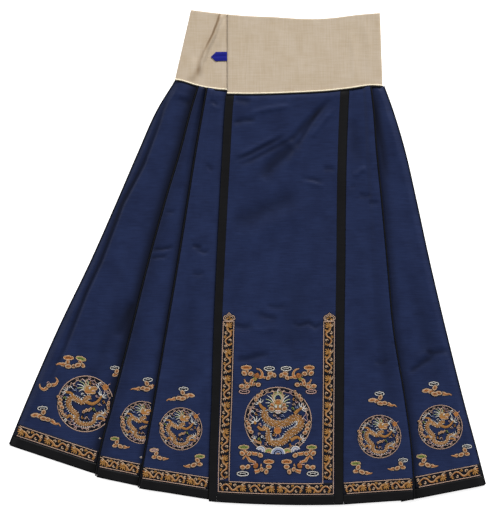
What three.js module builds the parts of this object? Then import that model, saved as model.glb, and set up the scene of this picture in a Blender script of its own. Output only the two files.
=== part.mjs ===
// A pleated wrap skirt of dark blue satin on a cream cotton waistband, laid flat with its front up.
// Millimetres, +Z up: it lies on z = 0, its waist is towards +Y, and the side seen at the right is +X.
// Two halves hang from one waistband. Each half has wide flat ends with gores in knife pleats between them.
// The ends lie over each other at the front and at the back, so one panel is hidden under each that shows.
// The back has the same pieces as the front, turned round.

import * as THREE from "three";

// Cloth, and the room that layers and seams need
const SATIN = 1.2;
const COTTON = 1.5;
const GAP = 0.3;
const LAYER = SATIN + GAP;
const BACK_BASE = 0;
const FRONT_BASE = 3 * LAYER;

// Pleats: how far a gore runs on beyond its neighbour's fold edge, and how fast a wall steps down off one
const PLEAT_DEPTH = { waist: 10, hem: 28 };
const STEP_DOWN = { waist: 6, hem: 22 };
const FOLD_ROOM = 1.5;
const TUCK_DROP = 3;

// Trim
const PIPING_RADIUS = 1.3;
const PIPING_SIDES = 6;
const STRIP_LEFT = 16;
const STRIP_RIGHT = 18;
const HEM_BINDING = 20;

// Where the front rolls over to the back at the two sides
const SIDE_ROLL = 15;
const SIDE_HEIGHT = 1.8;
const SIDE_PIPING_RADIUS = 1.44;

// Hidden panels: how far a gore runs on over one side, and how far their own edges keep inside
const PANEL_LAP = 6;
const LAP_ROOM = 1.5;
const HIDDEN_INSET = 4;
const BACK_LIFT = 3;

// Rows of a sheet from its waist seam, as shares of its length: closer near the waist, where it flares
const ROWS = [0, 0.04, 0.1, 0.18, 0.28, 0.4, 0.52, 0.64, 0.76, 0.88, 1];

// The lengthwise lines: x of each at heights from the waist seam down to the hem
const LINES = rowsOf(
  ["y", "leftSide", "foldA", "foldB", "panelLeft", "panelRight", "foldC", "rightSide"],
  [
    [355, -144, -96, -79, -39.5, 205, 247, 270],
    [295, -181, -114, -90, -45, 202, 254, 292],
    [215, -217, -135, -104, -49.5, 199, 260, 316],
    [115, -260, -165, -120, -55, 197, 270, 339],
    [-5, -313, -198, -139, -61, 196, 281, 365],
    [-145, -380, -233, -163, -67, 194, 294, 398],
    [-285, -441, -269, -187, -71, 193, 317, 433],
    [-385, -482, -295, -205, -75, 192, 330, 460],
    [-485, -523, -312, -224, -77, 192, 336, 486],
  ],
);

// The back's lines between the two sides run straight: x of each at the waist seam and at the hem
const BACK_LINES = rowsOf(
  ["line", "waistX", "hemX"],
  [
    ["backFold3", -122, -312],
    ["backPanelLeft", -84, -150],
    ["backPanelRight", 166, 118],
    ["backFold2", 210, 240],
    ["backFold1", 229, 318],
  ],
);

// The soft crease in the outermost left gore: its place and widest reach as shares of that gore's width, its
// height and half its width
const SIDE_CREASE = { share: 0.3, reach: 0.125, height: 1.2, halfWidth: 9 };

// The pieces that show at the front: the lines at their sides, the seam they hang from, how far that dips
// between its ends, their hem's heights at both sides, and its sag between
const FRONT_PIECES = rowsOf(
  ["piece", "left", "right", "seam", "dip", "hemLeft", "hemRight", "sag"],
  [
    ["gore_left_1", "leftSide", "foldA", "under", 0, -375, -433, 0],
    ["gore_left_2", "foldA", "foldB", "under", 0, -438, -457, 0],
    ["gore_left_3", "foldB", "panelLeft", "under", 0, -461, -484, 0],
    ["front_panel", "panelLeft", "panelRight", "lap", 3, -487.5, -494, 3.5],
    ["gore_right_1", "panelRight", "foldC", "lap", 0, -494, -484, 0],
    ["gore_right_2", "foldC", "rightSide", "lap", 0, -483, -455, 0],
  ],
);

// The waist seam in two steps: the waistband's under part at the left, and the lower edge of the lap over it
const SEAMS = {
  under: rowsOf(
    ["x", "y"],
    [[-144, 355.5], [-130, 353], [-108, 346], [-87, 340.5], [-41, 335], [170, 337]],
  ),
  lap: rowsOf(
    ["x", "y"],
    [[-40, 327.5], [15, 327], [105, 330], [158, 333], [204, 338], [248, 344], [270, 343]],
  ),
};

// The waistband's upper edge and the skirt's hem, left to right
const BAND_TOP = rowsOf(
  ["x", "y"],
  [[-112, 495], [-46, 487], [2, 483], [50, 481], [122, 477], [170, 479], [218, 485], [265, 489]],
);
const HEM_CURVE = rowsOf(
  ["x", "y"],
  [[-478, -375], [-305, -435], [-220, -458], [-75, -485], [66, -493], [192, -493], [335, -483], [478, -455]],
);

// The waistband: its fold at each side, foot and top, and where its two free ends stop
const BAND_LEFT = { foot: -144, top: -112 };
const BAND_RIGHT = { foot: 270, top: 265 };
const BAND_TURN = 4;
const BAND_LAP_END = -40;
const BAND_MIDDLE = 60;
const BAND_UNDER_END = 170;
const BAND_ROWS = [0, 0.15, 0.35, 0.55, 0.75, 0.9, 1];
const BAND_LAP_HEIGHT = FRONT_BASE + COTTON + GAP;

// The tab at the waistband's free end
const TAB = { length: 32, width: 18, point: 9, thickness: 1, middleY: 402 };

const COLOURS = {
  satin: { color: 0x263050, roughness: 0.42, metalness: 0 },
  binding: { color: 0x17171a, roughness: 0.5, metalness: 0 },
  cotton: { color: 0xc7b8a3, roughness: 0.9, metalness: 0 },
  tab: { color: 0x2430a4, roughness: 0.5, metalness: 0 },
};

function rowsOf(columns, rows) {
  return rows.map((row) => Object.fromEntries(columns.map((name, i) => [name, row[i]])));
}

function lerp(a, b, share) {
  return a + (b - a) * share;
}

// A smooth curve through a table's rows, read at a value of its key column, straight beyond both ends
function readCurve(table, key, value, at) {
  const rows = table[0][key] < table[table.length - 1][key] ? table : [...table].reverse();
  const last = rows.length - 1;
  const slope = (i, j) => (rows[j][value] - rows[i][value]) / (rows[j][key] - rows[i][key]);
  if (at <= rows[0][key]) return rows[0][value] + slope(0, 1) * (at - rows[0][key]);
  if (at >= rows[last][key]) return rows[last][value] + slope(last - 1, last) * (at - rows[last][key]);
  const i = rows.findIndex((row) => row[key] > at) - 1;
  const run = rows[i + 1][key] - rows[i][key];
  const t = (at - rows[i][key]) / run;
  const tangentIn = i > 0 ? (slope(i - 1, i) + slope(i, i + 1)) / 2 : slope(i, i + 1);
  const tangentOut = i + 1 < last ? (slope(i, i + 1) + slope(i + 1, i + 2)) / 2 : slope(i, i + 1);
  const h = t * t * (3 - 2 * t);
  return (
    lerp(rows[i][value], rows[i + 1][value], h) +
    run * (t * (1 - t) * (1 - t) * tangentIn - t * t * (1 - t) * tangentOut)
  );
}

// Straight lines between a table's rows, read at a value of x
function readStraight(rows, x) {
  const i = Math.max(1, rows.findIndex((row) => row.x >= x));
  const [a, b] = x > rows[rows.length - 1].x ? rows.slice(-2) : [rows[i - 1], rows[i]];
  return lerp(a.y, b.y, (x - a.x) / (b.x - a.x));
}

// The lengthwise lines as functions of height
const BACK_NAMES = ["leftSide", ...BACK_LINES.map(({ line }) => line), "rightSide"];
const frontLine = (name) => (y) => readCurve(LINES, "y", name, y);
const backLine = (name) => {
  const row = BACK_LINES.find(({ line }) => line === name);
  return row ? (y) => lerp(row.waistX, row.hemX, downShare(y)) : frontLine(name);
};

// How far down a height lies, from 0 at the waist to 1 at the hem
const TOP_Y = LINES[0].y;
const HEM_Y = LINES[LINES.length - 1].y;
const downShare = (y) => (TOP_Y - y) / (TOP_Y - HEM_Y);

// Where a line meets an edge that runs across, found by stepping between the two
const MEET_STEPS = 8;
function meet(line, edge, start) {
  let y = start;
  for (let step = 0; step < MEET_STEPS; step += 1) y = edge(line(y));
  return { x: line(y), y };
}
const seamHeight = (seam) => (x) => readStraight(SEAMS[seam], x);
const backSeamHeight = (x) => seamHeight(x < BAND_LAP_END ? "under" : "lap")(x);
const hemHeight = (x) => readCurve(HEM_CURVE, "x", "y", x);
const frontCorner = (name, seam) => meet(frontLine(name), seamHeight(seam), TOP_Y);
const backCorner = (name) => meet(backLine(name), backSeamHeight, TOP_Y);

// Pleat sizes at a height
const pleatDepth = (y) => lerp(PLEAT_DEPTH.waist, PLEAT_DEPTH.hem, downShare(y));
const stepDown = (y) => lerp(STEP_DOWN.waist, STEP_DOWN.hem, downShare(y));

// Middle height of a wall in a given layer
const frontLayer = (layer) => FRONT_BASE + layer * LAYER + SATIN / 2;
const backLayer = (layer) => BACK_BASE + layer * LAYER + SATIN / 2;

// A patch is the area between two lines and two seams. At a share of its length it gives one row across.
// Cloth that runs on past the lines, under a neighbour, starts a little below the waist seam.
function patch({ left, right, topLeft, topRight, hemLeft, hemRight, dip = 0, sag = 0 }) {
  const length = (topLeft + topRight - hemLeft - hemRight) / 2;
  const row = (share) => {
    const yLeft = lerp(topLeft, hemLeft, share);
    const yRight = lerp(topRight, hemRight, share);
    const xLeft = left(yLeft);
    const xRight = right(yRight);
    const yAt = (x) => {
      const across = (x - xLeft) / (xRight - xLeft);
      const isInside = across >= 0 && across <= 1;
      const bow = 4 * across * (1 - across) * lerp(dip, sag, share);
      return lerp(yLeft, yRight, across) - (isInside ? bow : TUCK_DROP * (1 - share) ** 4);
    };
    return { xLeft, xRight, yLeft, yRight, yAt };
  };
  const bindingShare = 1 - HEM_BINDING / length;
  const wholeRows = [...ROWS.map((share) => share * bindingShare), 1];
  return { row, bindingShare, gapShare: GAP / length, liftedShare: 1 - BACK_LIFT / length, wholeRows };
}

function direction(from, to) {
  const run = Math.hypot(to[0] - from[0], to[1] - from[1]);
  return [(to[0] - from[0]) / run, (to[1] - from[1]) / run];
}

// The closed outline of a wall in section: its middle line moved half the thickness to both sides, mitred
function wallOutline(middle, thickness) {
  const last = middle.length - 1;
  const sides = middle.map((point, i) => {
    const arriving = direction(middle[i > 0 ? i - 1 : 0], middle[i > 0 ? i : 1]);
    const leaving = direction(middle[i < last ? i : last - 1], middle[i < last ? i + 1 : last]);
    const normal = [-arriving[1] - leaving[1], arriving[0] + leaving[0]];
    const reach = thickness / (normal[0] * -arriving[1] + normal[1] * arriving[0]);
    const offset = [(normal[0] * reach) / 2, (normal[1] * reach) / 2];
    return {
      over: [point[0] + offset[0], point[1] + offset[1]],
      under: [point[0] - offset[0], point[1] - offset[1]],
    };
  });
  return [...sides.map((side) => side.over), ...sides.map((side) => side.under).reverse()];
}

// A closed solid through rings of equal point counts, with both ends filled and faces pointing out. A ring runs
// along one side of its section and back along the other, so an end is filled by steps between the two.
function loft(rings) {
  const count = rings[0].length;
  const triangles = [];
  for (let r = 0; r + 1 < rings.length; r += 1) {
    for (let i = 0; i < count; i += 1) {
      const a = r * count + i;
      const b = r * count + ((i + 1) % count);
      triangles.push([a, b, b + count], [a, b + count, a + count]);
    }
  }
  const lastRing = (rings.length - 1) * count;
  for (let i = 0; i + 1 < count / 2; i += 1) {
    const [a, b, c, d] = [i, i + 1, count - 2 - i, count - 1 - i];
    triangles.push([a, c, b], [a, d, c]);
    const atLast = (face) => face.map((corner) => lastRing + corner);
    triangles.push(atLast([a, b, c]), atLast([a, c, d]));
  }
  const positions = rings.flat();
  if (signedVolume(positions, triangles) < 0) triangles.forEach((face) => face.reverse());
  const geometry = new THREE.BufferGeometry();
  geometry.setAttribute("position", new THREE.Float32BufferAttribute(positions.flat(), 3));
  geometry.setIndex(triangles.flat());
  geometry.computeVertexNormals();
  return geometry;
}

function signedVolume(positions, triangles) {
  const corner = (i) => new THREE.Vector3(...positions[i]);
  return triangles.reduce((sum, [a, b, c]) => sum + corner(a).dot(corner(b).cross(corner(c))) / 6, 0);
}

// A sheet of cloth over part of a patch: middleOf gives the section's middle line in each row
function sheet(area, from, to, middleOf, shares = ROWS) {
  const rings = shares.map((share) => {
    const row = area.row(lerp(from, to, share));
    return wallOutline(middleOf(row), SATIN).map(([x, z]) => [x, row.yAt(x), z]);
  });
  return loft(rings);
}

// A strip or hidden panel in one layer of a patch, between two edges
function flatSheet(area, fromOf, toOf, z, to = 1, shares = ROWS) {
  return sheet(area, 0, to, (row) => [[fromOf(row), z], [toOf(row), z]], shares);
}

// A piping: a thin round cord along one line, its middle at a height z
function piping(area, xOf, z, radius = PIPING_RADIUS) {
  const corners = [...Array(PIPING_SIDES).keys()].map((i) => (2 * Math.PI * i) / PIPING_SIDES);
  const rings = area.wholeRows.map((share) => {
    const row = area.row(share);
    const x = xOf(row);
    return corners.map((turn) => {
      const cornerX = x + radius * Math.cos(turn);
      return [cornerX, row.yAt(cornerX), z + radius * Math.sin(turn)];
    });
  });
  return loft(rings);
}

// How a gore ends at a line. Each gives the section's points from the edge inwards, where inward is +1 or -1.
// side: at a piped side edge. over: on top of the neighbour's pleat. tucked: on under the neighbour's fold
// edge and folded back to it. lapped: on under a panel's edge. seamed: butted against a panel's strip.
const EDGE = 2 * PIPING_RADIUS + 2 * GAP;
const SIDE_EDGE = 2 * SIDE_PIPING_RADIUS + 2 * GAP;
const frontEnds = {
  side: (x, y, inward) => [
    [x + inward * SIDE_EDGE, SIDE_HEIGHT + SATIN / 2],
    [x + inward * SIDE_ROLL, frontLayer(0)],
  ],
  over: (x, y, inward, room) => {
    const start = pleatDepth(y) + FOLD_ROOM;
    return [
      [x + inward * EDGE, frontLayer(2)],
      [x + inward * start, frontLayer(2)],
      [x + inward * Math.min(start + stepDown(y), room - FOLD_ROOM), frontLayer(0)],
    ];
  },
  tucked: (x, y, inward) => [
    [x - inward * EDGE, frontLayer(1)],
    [x - inward * pleatDepth(y), frontLayer(1)],
    [x - inward * pleatDepth(y), frontLayer(0)],
  ],
  lapped: (x, y, inward) => [[x - inward * PANEL_LAP, frontLayer(0)]],
  seamed: (x, y, inward) => [
    [x + inward * GAP, frontLayer(1)],
    [x + inward * (GAP + stepDown(y)), frontLayer(0)],
  ],
};
const backEnds = {
  side: (x, y, inward) => [[x + inward * SIDE_EDGE, backLayer(0)]],
  over: (x, y, inward) => [[x + inward * EDGE, backLayer(0)]],
  tucked: (x, y, inward, room) => {
    const start = Math.min(FOLD_ROOM + stepDown(y), room - pleatDepth(y) - FOLD_ROOM);
    return [
      [x - inward * EDGE, backLayer(1)],
      [x - inward * pleatDepth(y), backLayer(1)],
      [x - inward * pleatDepth(y), backLayer(2)],
      [x + inward * FOLD_ROOM, backLayer(2)],
      [x + inward * start, backLayer(0)],
    ];
  },
  lapped: (x, y, inward) => [
    [x - inward * PANEL_LAP, backLayer(1)],
    [x + inward * FOLD_ROOM, backLayer(1)],
    [x + inward * (FOLD_ROOM + stepDown(y)), backLayer(0)],
  ],
  seamed: (x, y, inward) => [[x + inward * GAP, backLayer(0)]],
};

// The section of a gore: its left end, what is between, and its right end
function goreSection(ends, leftEnd, rightEnd, between = () => []) {
  return (row) => {
    const room = row.xRight - row.xLeft;
    return [
      ...ends[leftEnd](row.xLeft, row.yLeft, 1, room),
      ...between(row),
      ...ends[rightEnd](row.xRight, row.yRight, -1, room).reverse(),
    ];
  };
}

// The soft crease beside the left side edge, which dies out towards the hem
function sideCrease(row) {
  const middle = lerp(row.xLeft, row.xRight, SIDE_CREASE.share);
  const fade = Math.sqrt(Math.max(0, 1 - downShare(row.yLeft)));
  const half = Math.min(SIDE_CREASE.halfWidth, (row.xRight - row.xLeft) * SIDE_CREASE.reach);
  const clear = Math.max(middle, row.xLeft + SIDE_ROLL + GAP + half);
  return [
    [clear - half, frontLayer(0)],
    [clear, frontLayer(0) + SIDE_CREASE.height * fade],
    [clear + half, frontLayer(0)],
  ];
}

// A flat run of cloth in one layer, with points between its ends so that a sagging hem stays round
function flatSection(leftOf, rightOf, z) {
  return (row) => [0, 0.25, 0.5, 0.75, 1].map((share) => [lerp(leftOf(row), rightOf(row), share), z]);
}

const skirt = new THREE.Group();
const materials = Object.fromEntries(
  Object.entries(COLOURS).map(([name, values]) => [name, () => new THREE.MeshStandardMaterial(values)]),
);

function addPiece(name, geometry, finish) {
  const mesh = new THREE.Mesh(geometry, materials[finish]());
  mesh.name = name;
  skirt.add(mesh);
}

// A gore or panel of satin with its black hem binding below it
function addBound(name, hemName, area, section) {
  addPiece(name, sheet(area, 0, area.bindingShare - area.gapShare / 2, section), "satin");
  addPiece(hemName, sheet(area, area.bindingShare + area.gapShare / 2, 1, section, [0, 1]), "binding");
}

// Front patches, from the table of pieces
const front = {};
for (const { piece, left, right, seam, ...edges } of FRONT_PIECES) {
  const lines = { left: frontLine(left), right: frontLine(right) };
  const tops = { topLeft: frontCorner(left, seam).y, topRight: frontCorner(right, seam).y };
  front[piece] = patch({ ...lines, ...tops, ...edges });
}

// A back patch: its hem is kept just inside the front's but at the two sides
function backPatch(leftName, rightName) {
  const [left, right] = [backLine(leftName), backLine(rightName)];
  const hemOf = (name) => {
    const lift = name.endsWith("Side") ? 0 : BACK_LIFT;
    return meet(backLine(name), hemHeight, HEM_Y).y + lift;
  };
  const tops = { topLeft: backCorner(leftName).y, topRight: backCorner(rightName).y };
  return patch({ left, right, ...tops, hemLeft: hemOf(leftName), hemRight: hemOf(rightName) });
}

// Front gores
const creasedSection = goreSection(frontEnds, "side", "tucked", sideCrease);
addBound("gore_left_1", "hem_left_1", front.gore_left_1, creasedSection);
addBound("gore_left_2", "hem_left_2", front.gore_left_2, goreSection(frontEnds, "over", "tucked"));
addBound("gore_left_3", "hem_left_3", front.gore_left_3, goreSection(frontEnds, "over", "lapped"));
addBound("gore_right_1", "hem_right_1", front.gore_right_1, goreSection(frontEnds, "seamed", "over"));
addBound("gore_right_2", "hem_right_2", front.gore_right_2, goreSection(frontEnds, "tucked", "side"));

// Front panel between its two strips, and the hidden panel under it
const outerLeft = (row) => row.xLeft;
const outerRight = (row) => row.xRight;
const inStripLeft = (row) => row.xLeft + STRIP_LEFT;
const inStripRight = (row) => row.xRight - STRIP_RIGHT;
const frontPanelPoints = flatSection(
  (row) => inStripLeft(row) + GAP,
  (row) => inStripRight(row) - GAP,
  frontLayer(1),
);
addBound("front_panel", "hem_front_panel", front.front_panel, frontPanelPoints);
addPiece(
  "front_panel_strip_left",
  flatSheet(front.front_panel, outerLeft, inStripLeft, frontLayer(1), 1, front.front_panel.wholeRows),
  "binding",
);
addPiece(
  "front_panel_strip_right",
  flatSheet(front.front_panel, inStripRight, outerRight, frontLayer(1), 1, front.front_panel.wholeRows),
  "binding",
);
addPiece(
  "front_under_panel",
  flatSheet(
    front.front_panel,
    (row) => row.xLeft + PANEL_LAP + LAP_ROOM,
    (row) => inStripRight(row) - HIDDEN_INSET,
    frontLayer(0),
    front.front_panel.liftedShare,
  ),
  "satin",
);

// Back gores, numbered from the right side round to the left
const back = {
  gore_back_1: backPatch("backFold1", "rightSide"),
  gore_back_2: backPatch("backFold2", "backFold1"),
  gore_back_3: backPatch("backPanelRight", "backFold2"),
  back_panel: backPatch("backPanelLeft", "backPanelRight"),
  gore_back_4: backPatch("backFold3", "backPanelLeft"),
  gore_back_5: backPatch("leftSide", "backFold3"),
};
addBound("gore_back_1", "hem_back_1", back.gore_back_1, goreSection(backEnds, "tucked", "side"));
addBound("gore_back_2", "hem_back_2", back.gore_back_2, goreSection(backEnds, "tucked", "over"));
addBound("gore_back_3", "hem_back_3", back.gore_back_3, goreSection(backEnds, "lapped", "over"));
addBound("gore_back_4", "hem_back_4", back.gore_back_4, goreSection(backEnds, "over", "seamed"));
addBound("gore_back_5", "hem_back_5", back.gore_back_5, goreSection(backEnds, "side", "tucked"));

// Back panel between its strips, which change sides, and the hidden panel that lies on it
const backStripLeft = (row) => row.xLeft + STRIP_RIGHT;
const backStripRight = (row) => row.xRight - STRIP_LEFT;
addBound(
  "back_panel",
  "hem_back_panel",
  back.back_panel,
  flatSection((row) => backStripLeft(row) + GAP, (row) => backStripRight(row) - GAP, backLayer(0)),
);
addPiece(
  "back_panel_strip_left",
  flatSheet(back.back_panel, outerLeft, backStripLeft, backLayer(0), 1, back.back_panel.wholeRows),
  "binding",
);
addPiece(
  "back_panel_strip_right",
  flatSheet(back.back_panel, backStripRight, outerRight, backLayer(0), 1, back.back_panel.wholeRows),
  "binding",
);
addPiece(
  "back_under_panel",
  flatSheet(
    back.back_panel,
    (row) => backStripLeft(row) + HIDDEN_INSET,
    (row) => row.xRight - PANEL_LAP - LAP_ROOM,
    backLayer(1),
    back.back_panel.liftedShare,
  ),
  "satin",
);

// Pipings in the fold edges, between a pleat's return and the gore over it, and at the two sides
const FRONT_PIPING_Z = (frontLayer(1) + frontLayer(2)) / 2;
const BACK_PIPING_Z = (backLayer(0) + backLayer(1)) / 2;
const insideLeft = (radius) => (row) => row.xLeft + radius;
const insideRight = (radius) => (row) => row.xRight - radius;
const atLeft = insideLeft(PIPING_RADIUS);
const atRight = insideRight(PIPING_RADIUS);
const pipings = {
  piping_left_1: piping(front.gore_left_2, atLeft, FRONT_PIPING_Z),
  piping_left_2: piping(front.gore_left_3, atLeft, FRONT_PIPING_Z),
  piping_right_1: piping(front.gore_right_1, atRight, FRONT_PIPING_Z),
  piping_back_1: piping(back.gore_back_2, atRight, BACK_PIPING_Z),
  piping_back_2: piping(back.gore_back_3, atRight, BACK_PIPING_Z),
  piping_back_3: piping(back.gore_back_4, atLeft, BACK_PIPING_Z),
};
const sidePiping = (area, inside) =>
  piping(area, inside(SIDE_PIPING_RADIUS), SIDE_PIPING_RADIUS, SIDE_PIPING_RADIUS);
pipings.piping_left_side = sidePiping(front.gore_left_1, insideLeft);
pipings.piping_right_side = sidePiping(front.gore_right_2, insideRight);
for (const [name, geometry] of Object.entries(pipings)) addPiece(name, geometry, "binding");

// The corners and points of the pieces sewn to the waistband, left to right: under the lap, along the lap's
// edge and across the back
const panelTop = front.front_panel.row(0);
const bandCorners = {
  under: ["leftSide", "foldA", "foldB", "panelLeft"].map((name) => frontCorner(name, "under")),
  lap: [
    frontCorner("panelLeft", "lap"),
    ...frontPanelPoints(panelTop).map(([x]) => ({ x, y: panelTop.yAt(x) })),
    ...["panelRight", "foldC", "rightSide"].map((name) => frontCorner(name, "lap")),
  ],
  back: BACK_NAMES.map(backCorner),
};
bandCorners.under.push(SEAMS.under[SEAMS.under.length - 1]);

// The waistband: one strip from its free end over the front, round the right side, across the back, round the
// left side and on under itself. Its points stand over the corners of the pieces sewn to it.
function bandSection(leftX, rightX) {
  const lap = BAND_LAP_HEIGHT + COTTON / 2;
  const under = FRONT_BASE + COTTON / 2;
  const rest = COTTON / 2;
  const rightRadius = (lap - rest) / 2;
  const leftRadius = (under - rest) / 2;
  const [footLeft, footRight] = [BAND_LEFT.foot, BAND_RIGHT.foot];
  const moved = (x) => lerp(leftX, rightX, (x - footLeft) / (footRight - footLeft));
  const between = (knots, z, from, to) =>
    knots.filter(({ x }) => x > from && x < to).map(({ x }) => [moved(x), z]);
  const halfTurn = (x, middle, radius) =>
    [0, 0.25, 0.5, 0.75, 1].map((share) => [
      x + radius * Math.sin(Math.PI * share),
      middle + Math.abs(radius) * Math.cos(Math.PI * share),
    ]);
  const rightTurn = halfTurn(rightX - rightRadius, rest + rightRadius, rightRadius);
  const leftTurn = halfTurn(leftX + leftRadius, rest + leftRadius, -leftRadius).reverse();
  const inner = [footLeft + leftRadius + COTTON, footRight - rightRadius - COTTON];
  return [
    [BAND_LAP_END, lap],
    ...between(bandCorners.lap, lap, BAND_LAP_END + COTTON, inner[1]),
    ...rightTurn,
    ...between(bandCorners.back, rest, ...inner).reverse(),
    ...leftTurn,
    ...between(bandCorners.under, under, inner[0], BAND_MIDDLE),
    [BAND_MIDDLE, under],
    [BAND_UNDER_END, under],
  ];
}
const bandTop = (x) => readCurve(BAND_TOP, "x", "y", x);
const bandFoot = (x, z) => {
  const isUnder = x <= BAND_UNDER_END && z < BAND_LAP_HEIGHT;
  const front = readStraight(bandCorners[isUnder ? "under" : "lap"], x);
  const back = readStraight(bandCorners.back, x);
  const isTurn = Math.min(x - BAND_LEFT.foot, BAND_RIGHT.foot - x) < BAND_TURN;
  return (isTurn ? Math.max(front, back) : z < FRONT_BASE ? back : front) + GAP;
};
const bandRings = BAND_ROWS.map((share) => {
  const leftX = lerp(BAND_LEFT.foot, BAND_LEFT.top, share);
  const rightX = lerp(BAND_RIGHT.foot, BAND_RIGHT.top, share);
  return wallOutline(bandSection(leftX, rightX), COTTON).map(([x, z]) => [
    x,
    lerp(bandFoot(x, z), bandTop(x), share),
    z,
  ]);
});
addPiece("waistband", loft(bandRings), "cotton");

// The tab: a short strip with one pointed end, butted against the waistband's free end
const tabEnd = BAND_LAP_END - GAP;
const tabShape = new THREE.Shape([
  new THREE.Vector2(tabEnd, TAB.middleY - TAB.width / 2),
  new THREE.Vector2(tabEnd, TAB.middleY + TAB.width / 2),
  new THREE.Vector2(tabEnd - TAB.length + TAB.point, TAB.middleY + TAB.width / 2),
  new THREE.Vector2(tabEnd - TAB.length, TAB.middleY),
  new THREE.Vector2(tabEnd - TAB.length + TAB.point, TAB.middleY - TAB.width / 2),
]);
const tabGeometry = new THREE.ExtrudeGeometry(tabShape, { depth: TAB.thickness, bevelEnabled: false });
tabGeometry.translate(0, 0, BAND_LAP_HEIGHT);
addPiece("waist_tab", tabGeometry, "tab");

export default skirt;
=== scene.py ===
"""A pleated wrap skirt of navy satin on a cream cotton waistband, laid flat with its front up.

Sizes are in millimetres in the part's own frame and become metres when a mesh is made. The skirt lies on
z = 0 with its waist towards +Y. Every sheet is a thin shell on the middle line of its solid, with soft
creases given one by one. The embroidery is laid down as thread, stroke by stroke, and dropped onto the cloth.
"""

import math

import bmesh
import bpy
import numpy as np
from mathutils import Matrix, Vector
from mathutils.bvhtree import BVHTree


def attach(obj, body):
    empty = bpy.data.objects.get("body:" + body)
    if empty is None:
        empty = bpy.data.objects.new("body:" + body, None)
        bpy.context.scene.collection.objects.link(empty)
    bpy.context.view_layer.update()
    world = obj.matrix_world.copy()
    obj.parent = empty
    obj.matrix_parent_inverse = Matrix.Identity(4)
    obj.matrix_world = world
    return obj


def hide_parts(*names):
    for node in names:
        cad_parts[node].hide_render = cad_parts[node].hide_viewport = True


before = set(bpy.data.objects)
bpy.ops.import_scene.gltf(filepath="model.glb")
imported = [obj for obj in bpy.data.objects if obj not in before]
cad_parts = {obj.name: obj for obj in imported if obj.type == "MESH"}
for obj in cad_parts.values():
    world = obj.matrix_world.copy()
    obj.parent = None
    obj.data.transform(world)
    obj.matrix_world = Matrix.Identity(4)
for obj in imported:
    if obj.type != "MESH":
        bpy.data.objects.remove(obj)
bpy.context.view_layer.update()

MM = 0.001

# Cloth and layers, as the solids have them
SATIN = 1.2
COTTON = 1.5
GAP = 0.3
LAYER = SATIN + GAP
FRONT_BASE = 3 * LAYER
SHELL = 1.0
SEWN_GAP = 0.06
PLEAT_DEPTH = (10, 28)
STEP_DOWN = (6, 22)
FOLD_ROOM = 1.5
PIPING_RADIUS = 1.3
SIDE_PIPING_RADIUS = 1.44
STRIP_LEFT = 16
STRIP_RIGHT = 18
HEM_BINDING = 20
SIDE_ROLL = 15
SIDE_HEIGHT = 1.8
PANEL_LAP = 6
HIDDEN_INSET = 4
BACK_LIFT = 3

# How far the front's sheet stays back from the edge of its side piping's room
SIDE_OVER = 0.6
# Lift of the back's sheets, which keeps their troughs off the floor
BACK_RAISE = 0.4
# How fast the waist seam's curve dies out in the rows below it
SEAM_BOW_FADE = 6
# Rounds that settle where a lengthwise line meets an edge
MEET_ROUNDS = 8
# Rows and columns of the sheets' grids
FRONT_ROWS = 205
BACK_ROWS = 110
HIDDEN_ROWS = 40
HEM_ROWS = 6
FRONT_PANEL_COLUMNS = 110
BACK_PANEL_COLUMNS = 56
HIDDEN_COLUMNS = 12
STRIP_COLUMNS = 6
# How a section's corners are rounded: passes of smoothing, and how much closer its points lie towards them
SOFTEN_PASSES = 3
CORNER_BIAS = 0.4


def table(columns, rows):
    """Rows of numbers under named columns, read as one array for each column."""
    return dict(zip(columns.split(), np.array(rows, dtype=float).T))


# The lengthwise lines: x of each at heights from the waist seam down to the hem
LINES = table(
    "y leftSide foldA foldB panelLeft panelRight foldC rightSide",
    [
        (355, -144, -96, -79, -39.5, 205, 247, 270),
        (295, -181, -114, -90, -45, 202, 254, 292),
        (215, -217, -135, -104, -49.5, 199, 260, 316),
        (115, -260, -165, -120, -55, 197, 270, 339),
        (-5, -313, -198, -139, -61, 196, 281, 365),
        (-145, -380, -233, -163, -67, 194, 294, 398),
        (-285, -441, -269, -187, -71, 193, 317, 433),
        (-385, -482, -295, -205, -75, 192, 330, 460),
        (-485, -523, -312, -224, -77, 192, 336, 486),
    ],
)

# The back's lines run straight between the waist and the hem
BACK_LINES = {
    "backFold3": (-122, -312),
    "backPanelLeft": (-84, -150),
    "backPanelRight": (166, 118),
    "backFold2": (210, 240),
    "backFold1": (229, 318),
}

# The waist seam in two steps, under the waistband and along its lap, and the edges above and below
UNDER_SEAM = table("x y", [(-144, 355.5), (-130, 353), (-108, 346), (-87, 340.5), (-41, 335), (170, 337)])
LAP_SEAM = table(
    "x y", [(-40, 327.5), (15, 327), (105, 330), (158, 333), (204, 338), (248, 344), (270, 343)]
)
BACK_SEAM = table(
    "x y", [(-144, 355.5), (-122, 351), (-84, 340), (166, 334), (210, 339), (229, 341.5), (270, 343)]
)
BAND_TOP = table(
    "x y", [(-112, 495), (-46, 487), (2, 483), (50, 481), (122, 477), (170, 479), (218, 485), (265, 489)]
)
HEM_CURVE = table(
    "x y",
    [
        (-478, -375), (-305, -435), (-220, -458), (-75, -485), (66, -493), (192, -493), (335, -483),
        (478, -455),
    ],
)

# The pieces that show at the front: lines at their sides, the seam they hang from, hem heights and sag
FRONT_PIECES = {
    "gore_left_1": ("leftSide", "foldA", UNDER_SEAM, -375, -433, 0),
    "gore_left_2": ("foldA", "foldB", UNDER_SEAM, -438, -457, 0),
    "gore_left_3": ("foldB", "panelLeft", UNDER_SEAM, -461, -484, 0),
    "front_panel": ("panelLeft", "panelRight", LAP_SEAM, -487.5, -494, 3.5),
    "gore_right_1": ("panelRight", "foldC", LAP_SEAM, -494, -484, 0),
    "gore_right_2": ("foldC", "rightSide", LAP_SEAM, -483, -455, 0),
}


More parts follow.
